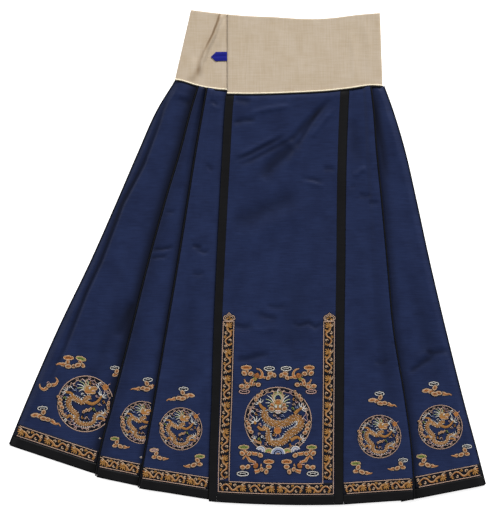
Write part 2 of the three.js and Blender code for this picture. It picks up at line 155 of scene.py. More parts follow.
def lerp(a, b, share):
    """A value part of the way from a to b."""
    return a + (b - a) * share


def smooth(share):
    """A share eased at both ends."""
    share = np.clip(share, 0, 1)
    return share * share * (3 - 2 * share)


def read_curve(rows, key, value, at):
    """A smooth curve through two columns of a table, straight beyond both ends."""
    x, y = rows[key], rows[value]
    if x[0] > x[-1]:
        x, y = x[::-1], y[::-1]
    at = np.asarray(at, dtype=float)
    slopes = np.diff(y) / np.diff(x)
    tangents = np.concatenate(([slopes[0]], (slopes[1:] + slopes[:-1]) / 2, [slopes[-1]]))
    i = np.clip(np.searchsorted(x, at, side="right") - 1, 0, len(x) - 2)
    run = x[i + 1] - x[i]
    t = np.clip((at - x[i]) / run, 0, 1)
    bend = t * (1 - t) ** 2 * tangents[i] - t * t * (1 - t) * tangents[i + 1]
    inside = lerp(y[i], y[i + 1], t * t * (3 - 2 * t)) + run * bend
    beyond = np.where(at < x[0], slopes[0] * (at - x[0]), np.where(at > x[-1], slopes[-1] * (at - x[-1]), 0))
    return inside + beyond


TOP_Y, HEM_Y = LINES["y"][0], LINES["y"][-1]


def down_share(y):
    """The share of the way down from the waist to the hem."""
    return (TOP_Y - y) / (TOP_Y - HEM_Y)


def line_at(name, y):
    """x of a lengthwise line of the front or the back at a height."""
    if name in BACK_LINES:
        return lerp(*BACK_LINES[name], down_share(y))
    return float(read_curve(LINES, "y", name, y))


def meet(line, edge, start):
    """Where a lengthwise line meets an edge that runs across."""
    y = start
    for _ in range(MEET_ROUNDS):
        y = float(read_curve(edge, "x", "y", line_at(line, y)))
    return line_at(line, y), y


def pleat_depth(y):
    """How far a gore runs on under its neighbour."""
    return lerp(*PLEAT_DEPTH, down_share(y))


def step_down(y):
    """How far a wall takes to step down off a fold."""
    return lerp(*STEP_DOWN, down_share(y))


def front_layer(layer):
    """Middle height of a front sheet in a given layer."""
    return FRONT_BASE + layer * LAYER + SATIN / 2


def back_layer(layer):
    """Middle height of a back sheet in a given layer."""
    return layer * LAYER + SATIN / 2 + BACK_RAISE


class Row:
    """One row across a patch: its two ends, and its height at any x between and beyond them."""

    def __init__(self, patch, share):
        self.patch = patch
        self.share = share
        self.y_left = lerp(patch.top_left, patch.hem_left, share)
        self.y_right = lerp(patch.top_right, patch.hem_right, share)
        self.x_left = line_at(patch.left, self.y_left)
        self.x_right = line_at(patch.right, self.y_right)
        self.room = self.x_right - self.x_left

    def y_at(self, x):
        across = (x - self.x_left) / self.room
        bow = 4 * across * (1 - across) * self.patch.sag * self.share
        straight = lerp(self.y_left, self.y_right, across)
        inside = (across > 0) & (across < 1)
        return straight - np.where(inside, bow, 0) + self.seam_bow(x)

    def seam_bow(self, x):
        """Near the waist a row follows the seam's own curve, which dies out over the first rows."""
        patch = self.patch
        top_x = lerp(patch.seam_left_x, patch.seam_right_x, (x - self.x_left) / self.room)
        chord = np.interp(top_x, (patch.seam_left_x, patch.seam_right_x), (patch.top_left, patch.top_right))
        reach = (1 - self.share) ** SEAM_BOW_FADE
        return (read_curve(patch.seam, "x", "y", top_x) - chord) * reach


class Patch:
    """The area between two lengthwise lines, from the waist seam to the hem."""

    def __init__(self, left, right, seam, hem_left, hem_right, sag=0):
        self.left, self.right, self.seam = left, right, seam
        self.hem_left, self.hem_right, self.sag = hem_left, hem_right, sag
        self.seam_left_x, self.top_left = meet(left, seam, TOP_Y)
        self.seam_right_x, self.top_right = meet(right, seam, TOP_Y)
        self.length = (self.top_left + self.top_right - hem_left - hem_right) / 2
        self.binding_share = 1 - HEM_BINDING / self.length
        self.gap_share = SEWN_GAP / self.length

    def share_at(self, rise):
        """The share of the length that lies a number of millimetres above the hem."""
        return 1 - rise / self.length


def back_patch(left, right):
    """A patch of the back, its hem just above the front's."""
    def hem(name):
        return meet(name, HEM_CURVE, HEM_Y)[1] + (0 if name.endswith("Side") else BACK_LIFT)

    return Patch(left, right, BACK_SEAM, hem(left), hem(right))


# Section ends, as the solids have them, each point with the number of steps to the next one. All take the x
# and y of their lengthwise line, the way that is inward and the room between the two lines.
EDGE = 2 * PIPING_RADIUS + 2 * GAP
SIDE_EDGE = 2 * SIDE_PIPING_RADIUS + 2 * GAP


def front_side(x, y, inward, room):
    """A side edge of the front: up on its piping, then down."""
    return [
        (x + inward * (SIDE_EDGE - GAP - SIDE_OVER), SIDE_HEIGHT + SATIN / 2, 6),
        (x + inward * SIDE_ROLL, front_layer(0), 0),
    ]


def front_over(x, y, inward, room):
    """A fold that lies over its neighbour: high as far as the pleat reaches, then down."""
    start = pleat_depth(y) + FOLD_ROOM
    end = min(start + step_down(y), room - FOLD_ROOM)
    return [
        (x + inward * EDGE, front_layer(2), 5),
        (x + inward * start, front_layer(2), 8),
        (x + inward * end, front_layer(0), 0),
    ]


def front_tucked(x, y, inward, room):
    """An edge that runs on under its neighbour's fold."""
    depth = pleat_depth(y)
    return [
        (x - inward * EDGE, front_layer(1), 4),
        (x - inward * depth, front_layer(1), 3),
        (x - inward * depth, front_layer(0), 0),
    ]


def front_lapped(x, y, inward, room):
    """An edge that is lapped flat under a panel."""
    return [(x - inward * PANEL_LAP, front_layer(0), 0)]


def front_seamed(x, y, inward, room):
    """An edge sewn to a panel's strip, a layer up, then down."""
    return [(x + inward * GAP, front_layer(1), 6), (x + inward * (GAP + step_down(y)), front_layer(0), 0)]


def back_side(x, y, inward, room):
    """A side edge of the back, flat."""
    return [(x + inward * SIDE_EDGE, back_layer(0), 0)]


def back_over(x, y, inward, room):
    """A fold that lies over its neighbour, seen from below."""
    return [(x + inward * EDGE, back_layer(0), 0)]


def back_tucked(x, y, inward, room):
    """An edge that runs on behind its neighbour's fold."""
    depth = pleat_depth(y)
    end = min(FOLD_ROOM + step_down(y), room - depth - FOLD_ROOM)
    return [
        (x - inward * EDGE, back_layer(1), 4),
        (x - inward * depth, back_layer(1), 3),
        (x - inward * depth, back_layer(2), 4),
        (x + inward * FOLD_ROOM, back_layer(2), 5),
        (x + inward * end, back_layer(0), 0),
    ]


def back_lapped(x, y, inward, room):
    """An edge that is lapped behind a panel."""
    return [
        (x - inward * PANEL_LAP, back_layer(1), 3),
        (x + inward * FOLD_ROOM, back_layer(1), 5),
        (x + inward * (FOLD_ROOM + step_down(y)), back_layer(0), 0),
    ]


def back_seamed(x, y, inward, room):
    """An edge sewn to a panel's strip, flat."""
    return [(x + inward * GAP, back_layer(0), 0)]


def gore_section(left_end, right_end, wide_steps):
    """The section of a gore as points with step counts: its left end, its width, its right end."""

    def section(row):
        left = left_end(row.x_left, row.y_left, 1, row.room)
        right = right_end(row.x_right, row.y_right, -1, row.room)[::-1]
        left[-1] = (*left[-1][:2], wide_steps)
        steps = [point[2] for point in right[1:]] + [0]
        return left + [(x, z, count) for (x, z, _), count in zip(right, steps)]

    return section


def flat_section(left_of, right_of, z, steps):
    """The section of a flat piece between two limits of x."""
    return lambda row: [(left_of(row), z, steps), (right_of(row), z, 0)]


# Creases of the cloth: height, half width and route of each, above nought for a ridge, below for a trough
CREASES = {
    "gore_left_1": [
        (-1.35, 4.4, [
            (-150, 345), (-179, 263), (-209, 185), (-250, 107),
            (-292, -5), (-322, -69), (-366, -183), (-400, -262),
        ]),
        (0.2, 9, [(-176, 300), (-204, 245), (-236, 180), (-275, 95), (-325, 0), (-375, -120)]),
        (-0.9, 12, [(-228, -88), (-246, -122), (-262, -160)]),
        (0.5, 7, [(-150, 330), (-128, 322), (-118, 318)]),
        (-0.4, 6, [(-140, 318), (-118, 310), (-108, 308)]),
        (0.5, 12, [(-215, 60), (-255, -60), (-290, -190)]),
        (-0.45, 16, [(-240, -60), (-300, -220), (-330, -350)]),
    ],
    "gore_left_2": [
        (0.5, 8, [(-120, 200), (-140, 90), (-160, -10)]),
        (-1.0, 2.8, [(-192, 16), (-170, 17), (-146, 21)]),
        (-0.8, 2.8, [(-194, -1), (-176, 1), (-158, 2)]),
        (-0.5, 3, [(-164, 92), (-154, 90), (-144, 92)]),
        (0.35, 10, [(-178, -60), (-200, -170), (-222, -280)]),
    ],
    "gore_left_3": [
        (-0.5, 3.5, [(-76, 315), (-66, 309), (-58, 303)]),
        (0.4, 4, [(-74, 306), (-62, 299), (-52, 296)]),
        (-0.4, 4, [(-82, 186), (-74, 178), (-68, 172)]),
        (-0.8, 3, [(-112, 24), (-101, 22), (-90, 20)]),
        (-0.7, 3, [(-106, 16), (-98, 15), (-86, 10), (-74, 14)]),
        (-0.5, 4, [(-112, -32), (-98, -34), (-84, -30)]),
        (0.5, 11, [(-86, 130), (-95, 10), (-108, -110)]),
        (-0.35, 14, [(-110, -80), (-122, -200), (-136, -320)]),
    ],
    "front_panel": [
        (-0.8, 6, [(-28, 317), (-8, 314), (8, 310)]),
        (0.9, 5, [(3, 288), (44, 297), (89, 303)]),
        (-0.9, 4.5, [(-30, 269), (-6, 274), (18, 275)]),
        (-0.9, 4.5, [(-28, 193), (0, 204), (26, 217), (80, 246)]),
        (0.6, 4, [(-24, 200), (8, 216), (60, 243)]),
        (-0.8, 4.5, [(-22, 183), (10, 195), (36, 209), (106, 247)]),
        (-1.1, 13, [(106, 235), (72, 206), (46, 183), (30, 155)]),
        (0.7, 9, [(60, 250), (98, 214), (84, 178)]),
        (-0.7, 18, [(106, 125), (50, 104), (-34, 65)]),
        (0.5, 16, [(120, 100), (60, 70), (-10, 30)]),
        (-1.0, 6, [(168, 317), (146, 296), (124, 275), (86, 233)]),
        (0.7, 5, [(176, 300), (152, 272), (128, 240)]),
        (-0.8, 5, [(149, 302), (120, 258), (96, 217)]),
        (-0.6, 3.5, [(150, 177), (164, 178), (178, 175)]),
        (-0.6, 3.5, [(106, 159), (130, 156), (152, 149)]),
        (0.5, 4, [(112, 152), (134, 147), (156, 142)]),
        (-0.8, 4, [(88, -130), (104, -136), (122, -131), (136, -139), (156, -131)]),
        (-0.7, 6, [(-30, -134), (-8, -140), (14, -138)]),
        (-0.6, 6, [(20, -112), (36, -118), (60, -124)]),
        (-0.5, 5, [(36, -96), (60, -100), (80, -96)]),
        (0.4, 5, [(-6, -140), (30, -146), (70, -141)]),
        (-0.8, 6, [(-26, -206), (0, -203), (26, -196), (46, -192)]),
        (0.4, 20, [(150, 60), (140, -60), (120, -200)]),
        (-0.4, 22, [(100, -20), (96, -120), (80, -220)]),
    ],
    "gore_right_1": [
        (0.8, 5, [(210, 163), (224, 170), (237, 181)]),
        (-0.5, 4, [(222, 125), (234, 123), (248, 124)]),
        (-0.4, 4, [(204, 143), (210, 142), (217, 144)]),
        (-0.5, 4, [(241, 109), (254, 108), (264, 110)]),
        (-0.5, 12, [(214, 280), (216, 220), (222, 190)]),
        (0.4, 14, [(228, 40), (236, -80), (246, -190)]),
        (-0.4, 16, [(262, -60), (276, -180), (290, -300)]),
        (-0.6, 3, [(286, -170), (298, -173), (306, -171)]),
        (-0.5, 3, [(296, -215), (304, -217), (312, -216)]),
        (-0.5, 5, [(252, -206), (268, -210), (284, -204)]),
    ],
    "gore_right_2": [
        (-0.8, 7, [(252, 322), (262, 262), (272, 214), (280, 150)]),
        (0.6, 9, [(272, 300), (292, 240), (304, 180)]),
        (-1.0, 5, [(322, -230), (340, -218), (356, -207), (374, -196)]),
        (-0.9, 5, [(354, -187), (372, -191), (386, -188), (404, -186)]),
        (0.5, 6, [(334, -204), (352, -194), (372, -180)]),
        (0.4, 14, [(310, 60), (336, -60), (366, -170)]),
        (-0.4, 16, [(330, -30), (352, -130), (380, -260)]),
    ],
    "back_panel": [
        (-0.3, 8, [(60, 250), (20, 205), (-10, 180)]),
        (0.6, 9, [(110, 300), (70, 262), (40, 225)]),
        (0.5, 12, [(-60, 160), (-40, 60), (-70, -80)]),
        (0.4, 6, [(-20, -120), (30, -128), (80, -120)]),
    ],
    "gore_back_1": [
        (0.6, 10, [(262, 250), (300, 60), (350, -150)]),
        (0.4, 6, [(290, 120), (312, 110), (330, 118)]),
    ],
    "gore_back_2": [(0.4, 7, [(232, 150), (246, 40), (262, -100)])],
    "gore_back_3": [
        (0.5, 9, [(190, 190), (180, 20), (172, -160)]),
        (0.4, 5, [(160, 240), (182, 232), (200, 238)]),
    ],
    "gore_back_4": [
        (0.6, 10, [(-120, 210), (-160, 20), (-200, -180)]),
        (0.4, 6, [(-150, 90), (-120, 84), (-104, 92)]),
    ],
    "gore_back_5": [
        (0.6, 10, [(-180, 240), (-240, 80), (-310, -110)]),
        (0.5, 12, [(-290, -60), (-350, -230), (-390, -330)]),
    ],
}


# The share of a crease's length over which it dies out at each end
CREASE_FADE = 0.3


def route_lift(x, y, height, width, route):
    """The rise of one crease at points of the cloth: a soft section that dies out towards both ends."""
    points = np.array(route, dtype=float)
    runs = np.hypot(*np.diff(points, axis=0).T)
    total = runs.sum()
    nearest = np.full(x.shape, 1e9)
    place = np.zeros(x.shape)
    gone = 0.0
    for start, end, run in zip(points[:-1], points[1:], runs):
        dx, dy = (end - start) / run
        along = np.clip((x - start[0]) * dx + (y - start[1]) * dy, 0, run)
        apart = np.hypot(x - start[0] - along * dx, y - start[1] - along * dy)
        closer = apart < nearest
        nearest = np.where(closer, apart, nearest)
        place = np.where(closer, (gone + along) / total, place)
        gone += run
    fade = smooth(place / CREASE_FADE) * smooth((1 - place) / CREASE_FADE)
    return height * np.exp(-((nearest / width) ** 2)) * np.sqrt(fade)


# Slow waves of the cloth: wavelength across and along, turn, phase and height
WAVES = [
    (130, 310, 0.3, 0.4, 0.22), (83, 190, -0.5, 2.1, 0.16),
    (57, 120, 0.9, 4.0, 0.1), (41, 76, -1.1, 1.2, 0.07),
]


def unevenness(x, y):
    """The slow rise and fall of cloth that doesn't lie quite flat."""
    total = np.zeros(x.shape)
    for across, along, turn, phase, height in WAVES:
        wave_x = x * math.cos(turn) + y * math.sin(turn)
        wave_y = y * math.cos(turn) - x * math.sin(turn)
        total += height * np.sin(2 * math.pi * wave_x / across + phase) * np.cos(2 * math.pi * wave_y / along)
    return total


# How far in from its sides and its seam a sheet's relief fades in
EDGE_FADE = 14
SEAM_FADE = 12
# The front's creases are this many times as high or deep as CREASES says, so that they show
RIDGE_SCALE = 2.8
TROUGH_SCALE = 3.0
BACK_SCALE = 1.0
# How far a sheet without a puff may sink
LOWEST = -0.3

# How far each piece puffs up between its edges, and the share of that kept at its left and right edge
PUFF = {
    "gore_left_1": (1.8, 0, 0),
    "gore_left_2": (1.8, 0.6, 0),
    "gore_left_3": (1.6, 0.6, 0),
    "front_panel": (2.4, 0.4, 0.25),
    "gore_right_1": (1.6, 0.3, 0.6),
    "gore_right_2": (1.8, 0, 0),
}


def relief(name, row, x, y):
    """Creases and unevenness of a sheet, held down where a neighbour or a seam holds it."""
    puff, keep_left, keep_right = PUFF.get(name, (0, 0, 0))
    rise = puff + unevenness(x, y)
    for height, width, route in CREASES.get(name, ()):
        front_scale = RIDGE_SCALE if height > 0 else TROUGH_SCALE
        scale = BACK_SCALE if name.startswith(("back", "gore_back")) else front_scale
        rise = rise + route_lift(x, y, height * scale, width, route)
    left = lerp(keep_left, 1, smooth((x - row.x_left) / EDGE_FADE))
    right = lerp(keep_right, 1, smooth((row.x_right - x) / EDGE_FADE))
    below_seam = smooth(row.share * row.patch.length / SEAM_FADE)
    return np.maximum(rise, 0 if puff else LOWEST) * left * right * below_seam


# Painted shade beside a pleat, where the fold shades the cloth: the side of each gore where it is, how far in
# it reaches and how much
PAINTED_PLEAT_SHADE = {
    "gore_left_1": [("right", 13, 1.0), ("left", 18, 0.35)],
    "gore_left_2": [("right", 8, 0.9), ("left", 18, 0.4)],
    "gore_left_3": [("right", 4, 0.5)],
    "gore_right_2": [("left", 13, 0.6), ("right", 5, 0.4)],
}
# How much painted shade a millimetre of a trough lays on the cloth
CREASE_PAINTED_SHADE = 0.62


def painted_shade(name, row, x, y):
    """Painted shade at each point of a sheet, from nought to one: darker beside the pleats and in the
    creases' troughs.
    """
    depth = np.zeros(x.shape)
    for side, width, share in PAINTED_PLEAT_SHADE.get(name, ()):
        apart = x - row.x_left if side == "left" else row.x_right - x
        depth = depth + share * np.exp(-((np.maximum(apart, 0) / width) ** 2))
    for height, width, route in CREASES.get(name, ()):
        if height < 0:
            depth = depth + route_lift(x, y, -height * CREASE_PAINTED_SHADE, width, route)
    return np.clip(depth, 0, 1)


def expand(points):
    """A section's points with their steps put in, closer together towards its corners."""
    places = []
    for (x0, z0, count), (x1, z1, _) in zip(points[:-1], points[1:]):
        even = np.arange(count) / count
        share = lerp(even, (1 - np.cos(np.pi * even)) / 2, CORNER_BIAS)
        places.append(np.stack([lerp(x0, x1, share), lerp(z0, z1, share)], axis=1))
    places.append(np.array([[points[-1][0], points[-1][1]]]))
    return np.concatenate(places)


def soften(line):
    """The corners of a section rounded off, its ends kept."""
    for _ in range(SOFTEN_PASSES):
        line[1:-1] = (line[:-2] + 2 * line[1:-1] + line[2:]) / 4
    return line


def grid_mesh(name, places, size, painted_shades=None):
    """A grid of faces with vertices at places[row, column], a UV map in real sizes and its painted shade."""
    rows, columns = places.shape[0] - 1, places.shape[1] - 1
    grid = bmesh.new()
    grid.loops.layers.uv.new("cloth")
    bmesh.ops.create_grid(grid, x_segments=columns, y_segments=rows, size=0.5, calc_uvs=True)
    mesh = bpy.data.meshes.new(name)
    grid.to_mesh(mesh)
    grid.free()
    flat = np.empty(len(mesh.vertices) * 3)
    mesh.vertices.foreach_get("co", flat)
    flat = flat.reshape(-1, 3)
    column = np.rint((flat[:, 0] + 0.5) * columns).astype(int)
    row = np.rint((0.5 - flat[:, 1]) * rows).astype(int)
    mesh.vertices.foreach_set("co", (places[row, column] * MM).ravel())
    if painted_shades is not None:
        layer = mesh.attributes.new("painted_shade", "FLOAT", "POINT")
        layer.data.foreach_set("value", np.ascontiguousarray(painted_shades[row, column]))
    spread = np.empty(len(mesh.loops) * 2)
    mesh.uv_layers["cloth"].data.foreach_get("uv", spread)
    spread = spread.reshape(-1, 2) * np.array(size) * MM
    mesh.uv_layers["cloth"].data.foreach_set("uv", spread.ravel())
    mesh.polygons.foreach_set("use_smooth", [True] * len(mesh.polygons))
    mesh.update()
    return mesh


def add_object(name, mesh, materials):
    """An object at the origin with its materials."""
    piece = bpy.data.objects.new(name, mesh)
    bpy.context.scene.collection.objects.link(piece)
    for material in materials:
        mesh.materials.append(material)
    return piece


def finish_sheet(piece, nodes, thickness):
    """Gives a sheet its thickness, hangs it on the root and hides the parts that it stands for."""
    shell = piece.modifiers.new("thickness", "SOLIDIFY")
    shell.thickness = thickness * MM
    shell.offset = 0
    shell.use_even_offset = True
    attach(piece, "root")
    if nodes:
        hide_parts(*nodes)


def sheet_places(patch, section, span, row_count, creased):
    """The points of a sheet over part of a patch, row by row, and the painted shade of each."""
    rows, painted_shades = [], []
    for share in np.linspace(*span, row_count + 1):
        row = Row(patch, share)
        line = soften(expand(section(row)))
        x, z = line[:, 0], line[:, 1]
        y = row.y_at(x)
        rise = relief(creased, row, x, y) if creased else 0
        rows.append(np.stack([x, y, z + rise], axis=1))
        painted_shades.append(painted_shade(creased, row, x, y))
    return np.array(rows), np.array(painted_shades)


def add_sheet(name, patch, section, span, row_count, look, creased):
    """One piece of satin over part of a patch, for the node of its name, with the creases named."""
    places, painted_shades = sheet_places(patch, section, span, row_count, creased)
    size = (np.ptp(places[:, :, 0]), np.ptp(places[:, :, 1]))
    piece = add_object("cloth_" + name, grid_mesh(name, places, size, painted_shades), [look["material"]])
    finish_sheet(piece, [name], SHELL)
    return piece


# Materials


def linear(colour):
    """A hex sRGB colour as linear values with full opacity."""
    channels = [int(colour[i : i + 2], 16) / 255 for i in (1, 3, 5)]
    return (*[c / 12.92 if c <= 0.04045 else ((c + 0.055) / 1.055) ** 2.4 for c in channels], 1)


def add_node(tree, kind, inputs=None, **settings):
    """One node with its settings, and its inputs as values or as links from other nodes' outputs."""
    made = tree.nodes.new("ShaderNode" + kind)
    for name, value in settings.items():
        setattr(made, name, value)
    for name, value in (inputs or {}).items():
        if isinstance(value, bpy.types.NodeSocket):
            tree.links.new(value, made.inputs[name])
        else:
            made.inputs[name].default_value = value
    return made


def start_material(name):
    """An empty material with its shader joined to the output."""
    material = bpy.data.materials.new(name)
    material.use_nodes = True
    tree = material.node_tree
    tree.nodes.clear()
    output = add_node(tree, "OutputMaterial")
    shader = add_node(tree, "BsdfPrincipled")
    tree.links.new(shader.outputs["BSDF"], output.inputs["Surface"])
    return material, tree, shader


def colour_between(tree, factor, dark, light):
    """A colour mixed between two hex colours by a factor."""
    mix = add_node(tree, "Mix", {"Factor": factor}, data_type="RGBA")
    mix.inputs[6].default_value = linear(dark)
    mix.inputs[7].default_value = linear(light)
    return mix.outputs[2]


# How much of its colour the satin keeps where its painted shade is deepest, and the brown painted as shade on
# the cotton
PAINTED_SHADE_KEEPS = 0.3
PAINTED_SHADE_BROWN = "#6b5030"


def satin_material(name, dark, light, roughness, specular):
    """Silk satin, warp-faced and piece-dyed: smooth with a soft sheen, faint weft slubs and slow clouding,
    darkened by painted shade in its pleats and crease troughs.

    The fibre is assumed. The slubs are drawn about 2.2 mm wide, coarser than real ones, so that they show.
    """
    material, tree, shader = start_material(name)
    place = add_node(tree, "TexCoord").outputs["Object"]
    clouding = add_node(
        tree, "TexNoise", {"Vector": place, "Scale": 1 / 0.035, "Detail": 3.0, "Roughness": 0.6}
    )
    weft = add_node(tree, "Mapping", {"Vector": place, "Scale": (1 / 0.030, 1 / 0.0022, 1.0)})
    slubs = add_node(tree, "TexNoise", {"Vector": weft.outputs["Vector"], "Scale": 1.0, "Detail": 2.0})
    both = add_node(tree, "Math", {0: clouding.outputs["Fac"], 1: slubs.outputs["Fac"]}, operation="ADD")
    spread = add_node(tree, "MapRange", {"Value": both.outputs[0], "From Min": 0.72, "From Max": 1.28})
    satin_unshaded = colour_between(tree, spread.outputs["Result"], dark, light)
    # Painted shade: the sheet's shade attribute mixes the satin towards a darker copy of its colour in pleats
    # and crease troughs
    satin_shade_amount = add_node(tree, "Attribute", attribute_name="painted_shade")
    satin_shaded = add_node(tree, "Mix", {"Factor": satin_shade_amount.outputs["Fac"]}, data_type="RGBA")
    tree.links.new(satin_unshaded, satin_shaded.inputs[6])
    satin_shaded.inputs[7].default_value = tuple(channel * PAINTED_SHADE_KEEPS for channel in linear(dark)[:3]) + (1,)
    tree.links.new(satin_shaded.outputs[2], shader.inputs["Base Color"])
    bump = add_node(tree, "Bump", {"Height": slubs.outputs["Fac"], "Strength": 0.25, "Distance": 0.0004})
    tree.links.new(bump.outputs["Normal"], shader.inputs["Normal"])
    shader.inputs["Roughness"].default_value = roughness
    shader.inputs["Specular IOR Level"].default_value = specular
    return material


def cotton_material(name, dark, light):
    """Plain-woven unbleached cotton: matt, with thick slubs both ways, a faint yellowish mottle, and a brown
    painted shade where the sheet's shade attribute marks it.

    The slubs are drawn coarser than real ones, so that they show.
    """
    material, tree, shader = start_material(name)
    place = add_node(tree, "TexCoord").outputs["Object"]
    weft = add_node(tree, "Mapping", {"Vector": place, "Scale": (1 / 0.035, 1 / 0.0028, 1.0)})
    warp = add_node(tree, "Mapping", {"Vector": place, "Scale": (1 / 0.0028, 1 / 0.05, 1.0)})
    weft_slubs = add_node(tree, "TexNoise", {"Vector": weft.outputs["Vector"], "Scale": 1.0, "Detail": 3.0})
    warp_slubs = add_node(tree, "TexNoise", {"Vector": warp.outputs["Vector"], "Scale": 1.0, "Detail": 2.0})
    mottle = add_node(tree, "TexNoise", {"Vector": place, "Scale": 1 / 0.03, "Detail": 2.0})
    threads = add_node(
        tree, "Math", {0: weft_slubs.outputs["Fac"], 1: warp_slubs.outputs["Fac"]}, operation="ADD"
    )
    both = add_node(tree, "Math", {0: threads.outputs[0], 1: mottle.outputs["Fac"]}, operation="ADD")
    spread = add_node(tree, "MapRange", {"Value": both.outputs[0], "From Min": 1.15, "From Max": 1.85})
    cotton_unshaded = colour_between(tree, spread.outputs["Result"], dark, light)
    # Painted shade: the sheet's shade attribute mixes the cotton towards brown in its crease and beside the
    # lap's end
    cotton_shade_amount = add_node(tree, "Attribute", attribute_name="painted_shade")
    cotton_shaded = add_node(tree, "Mix", {"Factor": cotton_shade_amount.outputs["Fac"]}, data_type="RGBA")
    tree.links.new(cotton_unshaded, cotton_shaded.inputs[6])
    cotton_shaded.inputs[7].default_value = linear(PAINTED_SHADE_BROWN)
    tree.links.new(cotton_shaded.outputs[2], shader.inputs["Base Color"])
    bump = add_node(tree, "Bump", {"Height": threads.outputs[0], "Strength": 0.35, "Distance": 0.0006})
    tree.links.new(bump.outputs["Normal"], shader.inputs["Normal"])
    shader.inputs["Roughness"].default_value = 0.88
    shader.inputs["Specular IOR Level"].default_value = 0.25
    return material


LOOKS = {
    "navy": {
        "material": satin_material("navy silk satin", "#151e3b", "#1d2849", 0.5, 0.12),
        "slot": "navy_satin",
    },
    "black": {
        "material": satin_material("black satin binding", "#09090b", "#0f0f11", 0.55, 0.12),
        "slot": "black_satin",
    },
    "cotton": {
        "material": cotton_material("unbleached cotton", "#b09f88", "#baab98"),
        "slot": "cream_cotton",
    },
    # A paler copy of the band's cotton: a painted highlight for its rolled edge
    "ivory": {"material": cotton_material("pale cotton cord, painted highlight", "#dccfb2", "#e6dcc6"), "slot": "cream_cotton"},
    "ribbon": {
        "material": satin_material("black ribbon ground", "#0a0b12", "#10121b", 0.6, 0.1),
        "slot": "black_satin",
    },
    "tab": {
        "material": satin_material("blue woven ribbon", "#10156a", "#181f86", 0.45, 0.18),
        "slot": "blue_tab",
    },
}

# Front and back patches

BACK_PIECES = {
    "gore_back_1": ("backFold1", "rightSide"),
    "gore_back_2": ("backFold2", "backFold1"),
    "gore_back_3": ("backPanelRight", "backFold2"),
    "back_panel": ("backPanelLeft", "backPanelRight"),
    "gore_back_4": ("backFold3", "backPanelLeft"),
    "gore_back_5": ("leftSide", "backFold3"),
}
PATCHES = {name: Patch(*values) for name, values in FRONT_PIECES.items()}
PATCHES.update({name: back_patch(*lines) for name, lines in BACK_PIECES.items()})


def add_bound(name, hem_name, section, row_count):
    """A gore or panel of satin, and its black hem binding."""
    patch = PATCHES[name]
    end = patch.binding_share - patch.gap_share / 2
    body = add_sheet(name, patch, section, (0, end), row_count, LOOKS["navy"], name)
    start = patch.binding_share + patch.gap_share / 2
    add_sheet(hem_name, patch, section, (start, 1), HEM_ROWS, LOOKS["black"], name)
    return body


def add_panel(side, z, hidden_z, left_width, right_width, row_count, columns):
    """A flat panel between its two strips, with its hem, and the hidden panel that lies with it."""
    name = side + "_panel"
    patch = PATCHES[name]
    panel = flat_section(
        lambda row: row.x_left + left_width + SEWN_GAP,
        lambda row: row.x_right - right_width - SEWN_GAP,
        z,
        columns,
    )
    body = add_bound(name, "hem_" + name, panel, row_count)
    edges = {
        "left": flat_section(lambda row: row.x_left, lambda row: row.x_left + left_width, z, STRIP_COLUMNS),
        "right": flat_section(
            lambda row: row.x_right - right_width, lambda row: row.x_right, z, STRIP_COLUMNS
        ),
    }
    for edge, section in edges.items():
        strip = f"{name}_strip_{edge}"
        add_sheet(strip, patch, section, (0, 1), row_count, LOOKS["black"], name)
    hidden = flat_section(
        lambda row: row.x_left + left_width + HIDDEN_INSET,
        lambda row: row.x_right - right_width - HIDDEN_INSET,
        hidden_z,
        HIDDEN_COLUMNS,
    )
    end = patch.share_at(BACK_LIFT)
    add_sheet(
        side + "_under_panel", patch, hidden, (0, end), HIDDEN_ROWS, LOOKS["navy"], None
    )
    return body


# The front's sheets and sections are kept, because ribbons and threads are laid on them
BODIES = {}
SECTIONS = {}
for name, hem_name, left_end, right_end, steps in [
    ("gore_left_1", "hem_left_1", front_side, front_tucked, 64),
    ("gore_left_2", "hem_left_2", front_over, front_tucked, 30),
    ("gore_left_3", "hem_left_3", front_over, front_lapped, 36),
    ("gore_right_1", "hem_right_1", front_seamed, front_over, 44),
    ("gore_right_2", "hem_right_2", front_tucked, front_side, 50),
]:
    section = gore_section(left_end, right_end, steps)
    SECTIONS[name] = section
    BODIES[name] = add_bound(name, hem_name, section, FRONT_ROWS)
SECTIONS["front_panel"] = flat_section(
    lambda row: row.x_left + STRIP_LEFT, lambda row: row.x_right - STRIP_RIGHT, front_layer(1), 56
)
BODIES["front_panel"] = add_panel(
    "front",
    front_layer(1),
    front_layer(0),
    STRIP_LEFT,
    STRIP_RIGHT,
    FRONT_ROWS,
    FRONT_PANEL_COLUMNS,
)
for name, hem_name, left_end, right_end, steps in [
    ("gore_back_1", "hem_back_1", back_tucked, back_side, 20),
    ("gore_back_2", "hem_back_2", back_tucked, back_over, 12),
    ("gore_back_3", "hem_back_3", back_lapped, back_over, 16),
    ("gore_back_4", "hem_back_4", back_over, back_seamed, 20),
    ("gore_back_5", "hem_back_5", back_side, back_tucked, 20),
]:
    add_bound(name, hem_name, gore_section(left_end, right_end, steps), BACK_ROWS)
add_panel(
    "back", back_layer(0), back_layer(1), STRIP_RIGHT, STRIP_LEFT, BACK_ROWS, BACK_PANEL_COLUMNS
)

# Pipings: round cords of black satin sewn into the fold edges

# A dressed cord is this much thicker than its solid, so that it meets the fold, and stops short of the hem
CORD_TOUCH = 0.25
CORD_SHORT = 1.8
PIPING_STEPS = 150


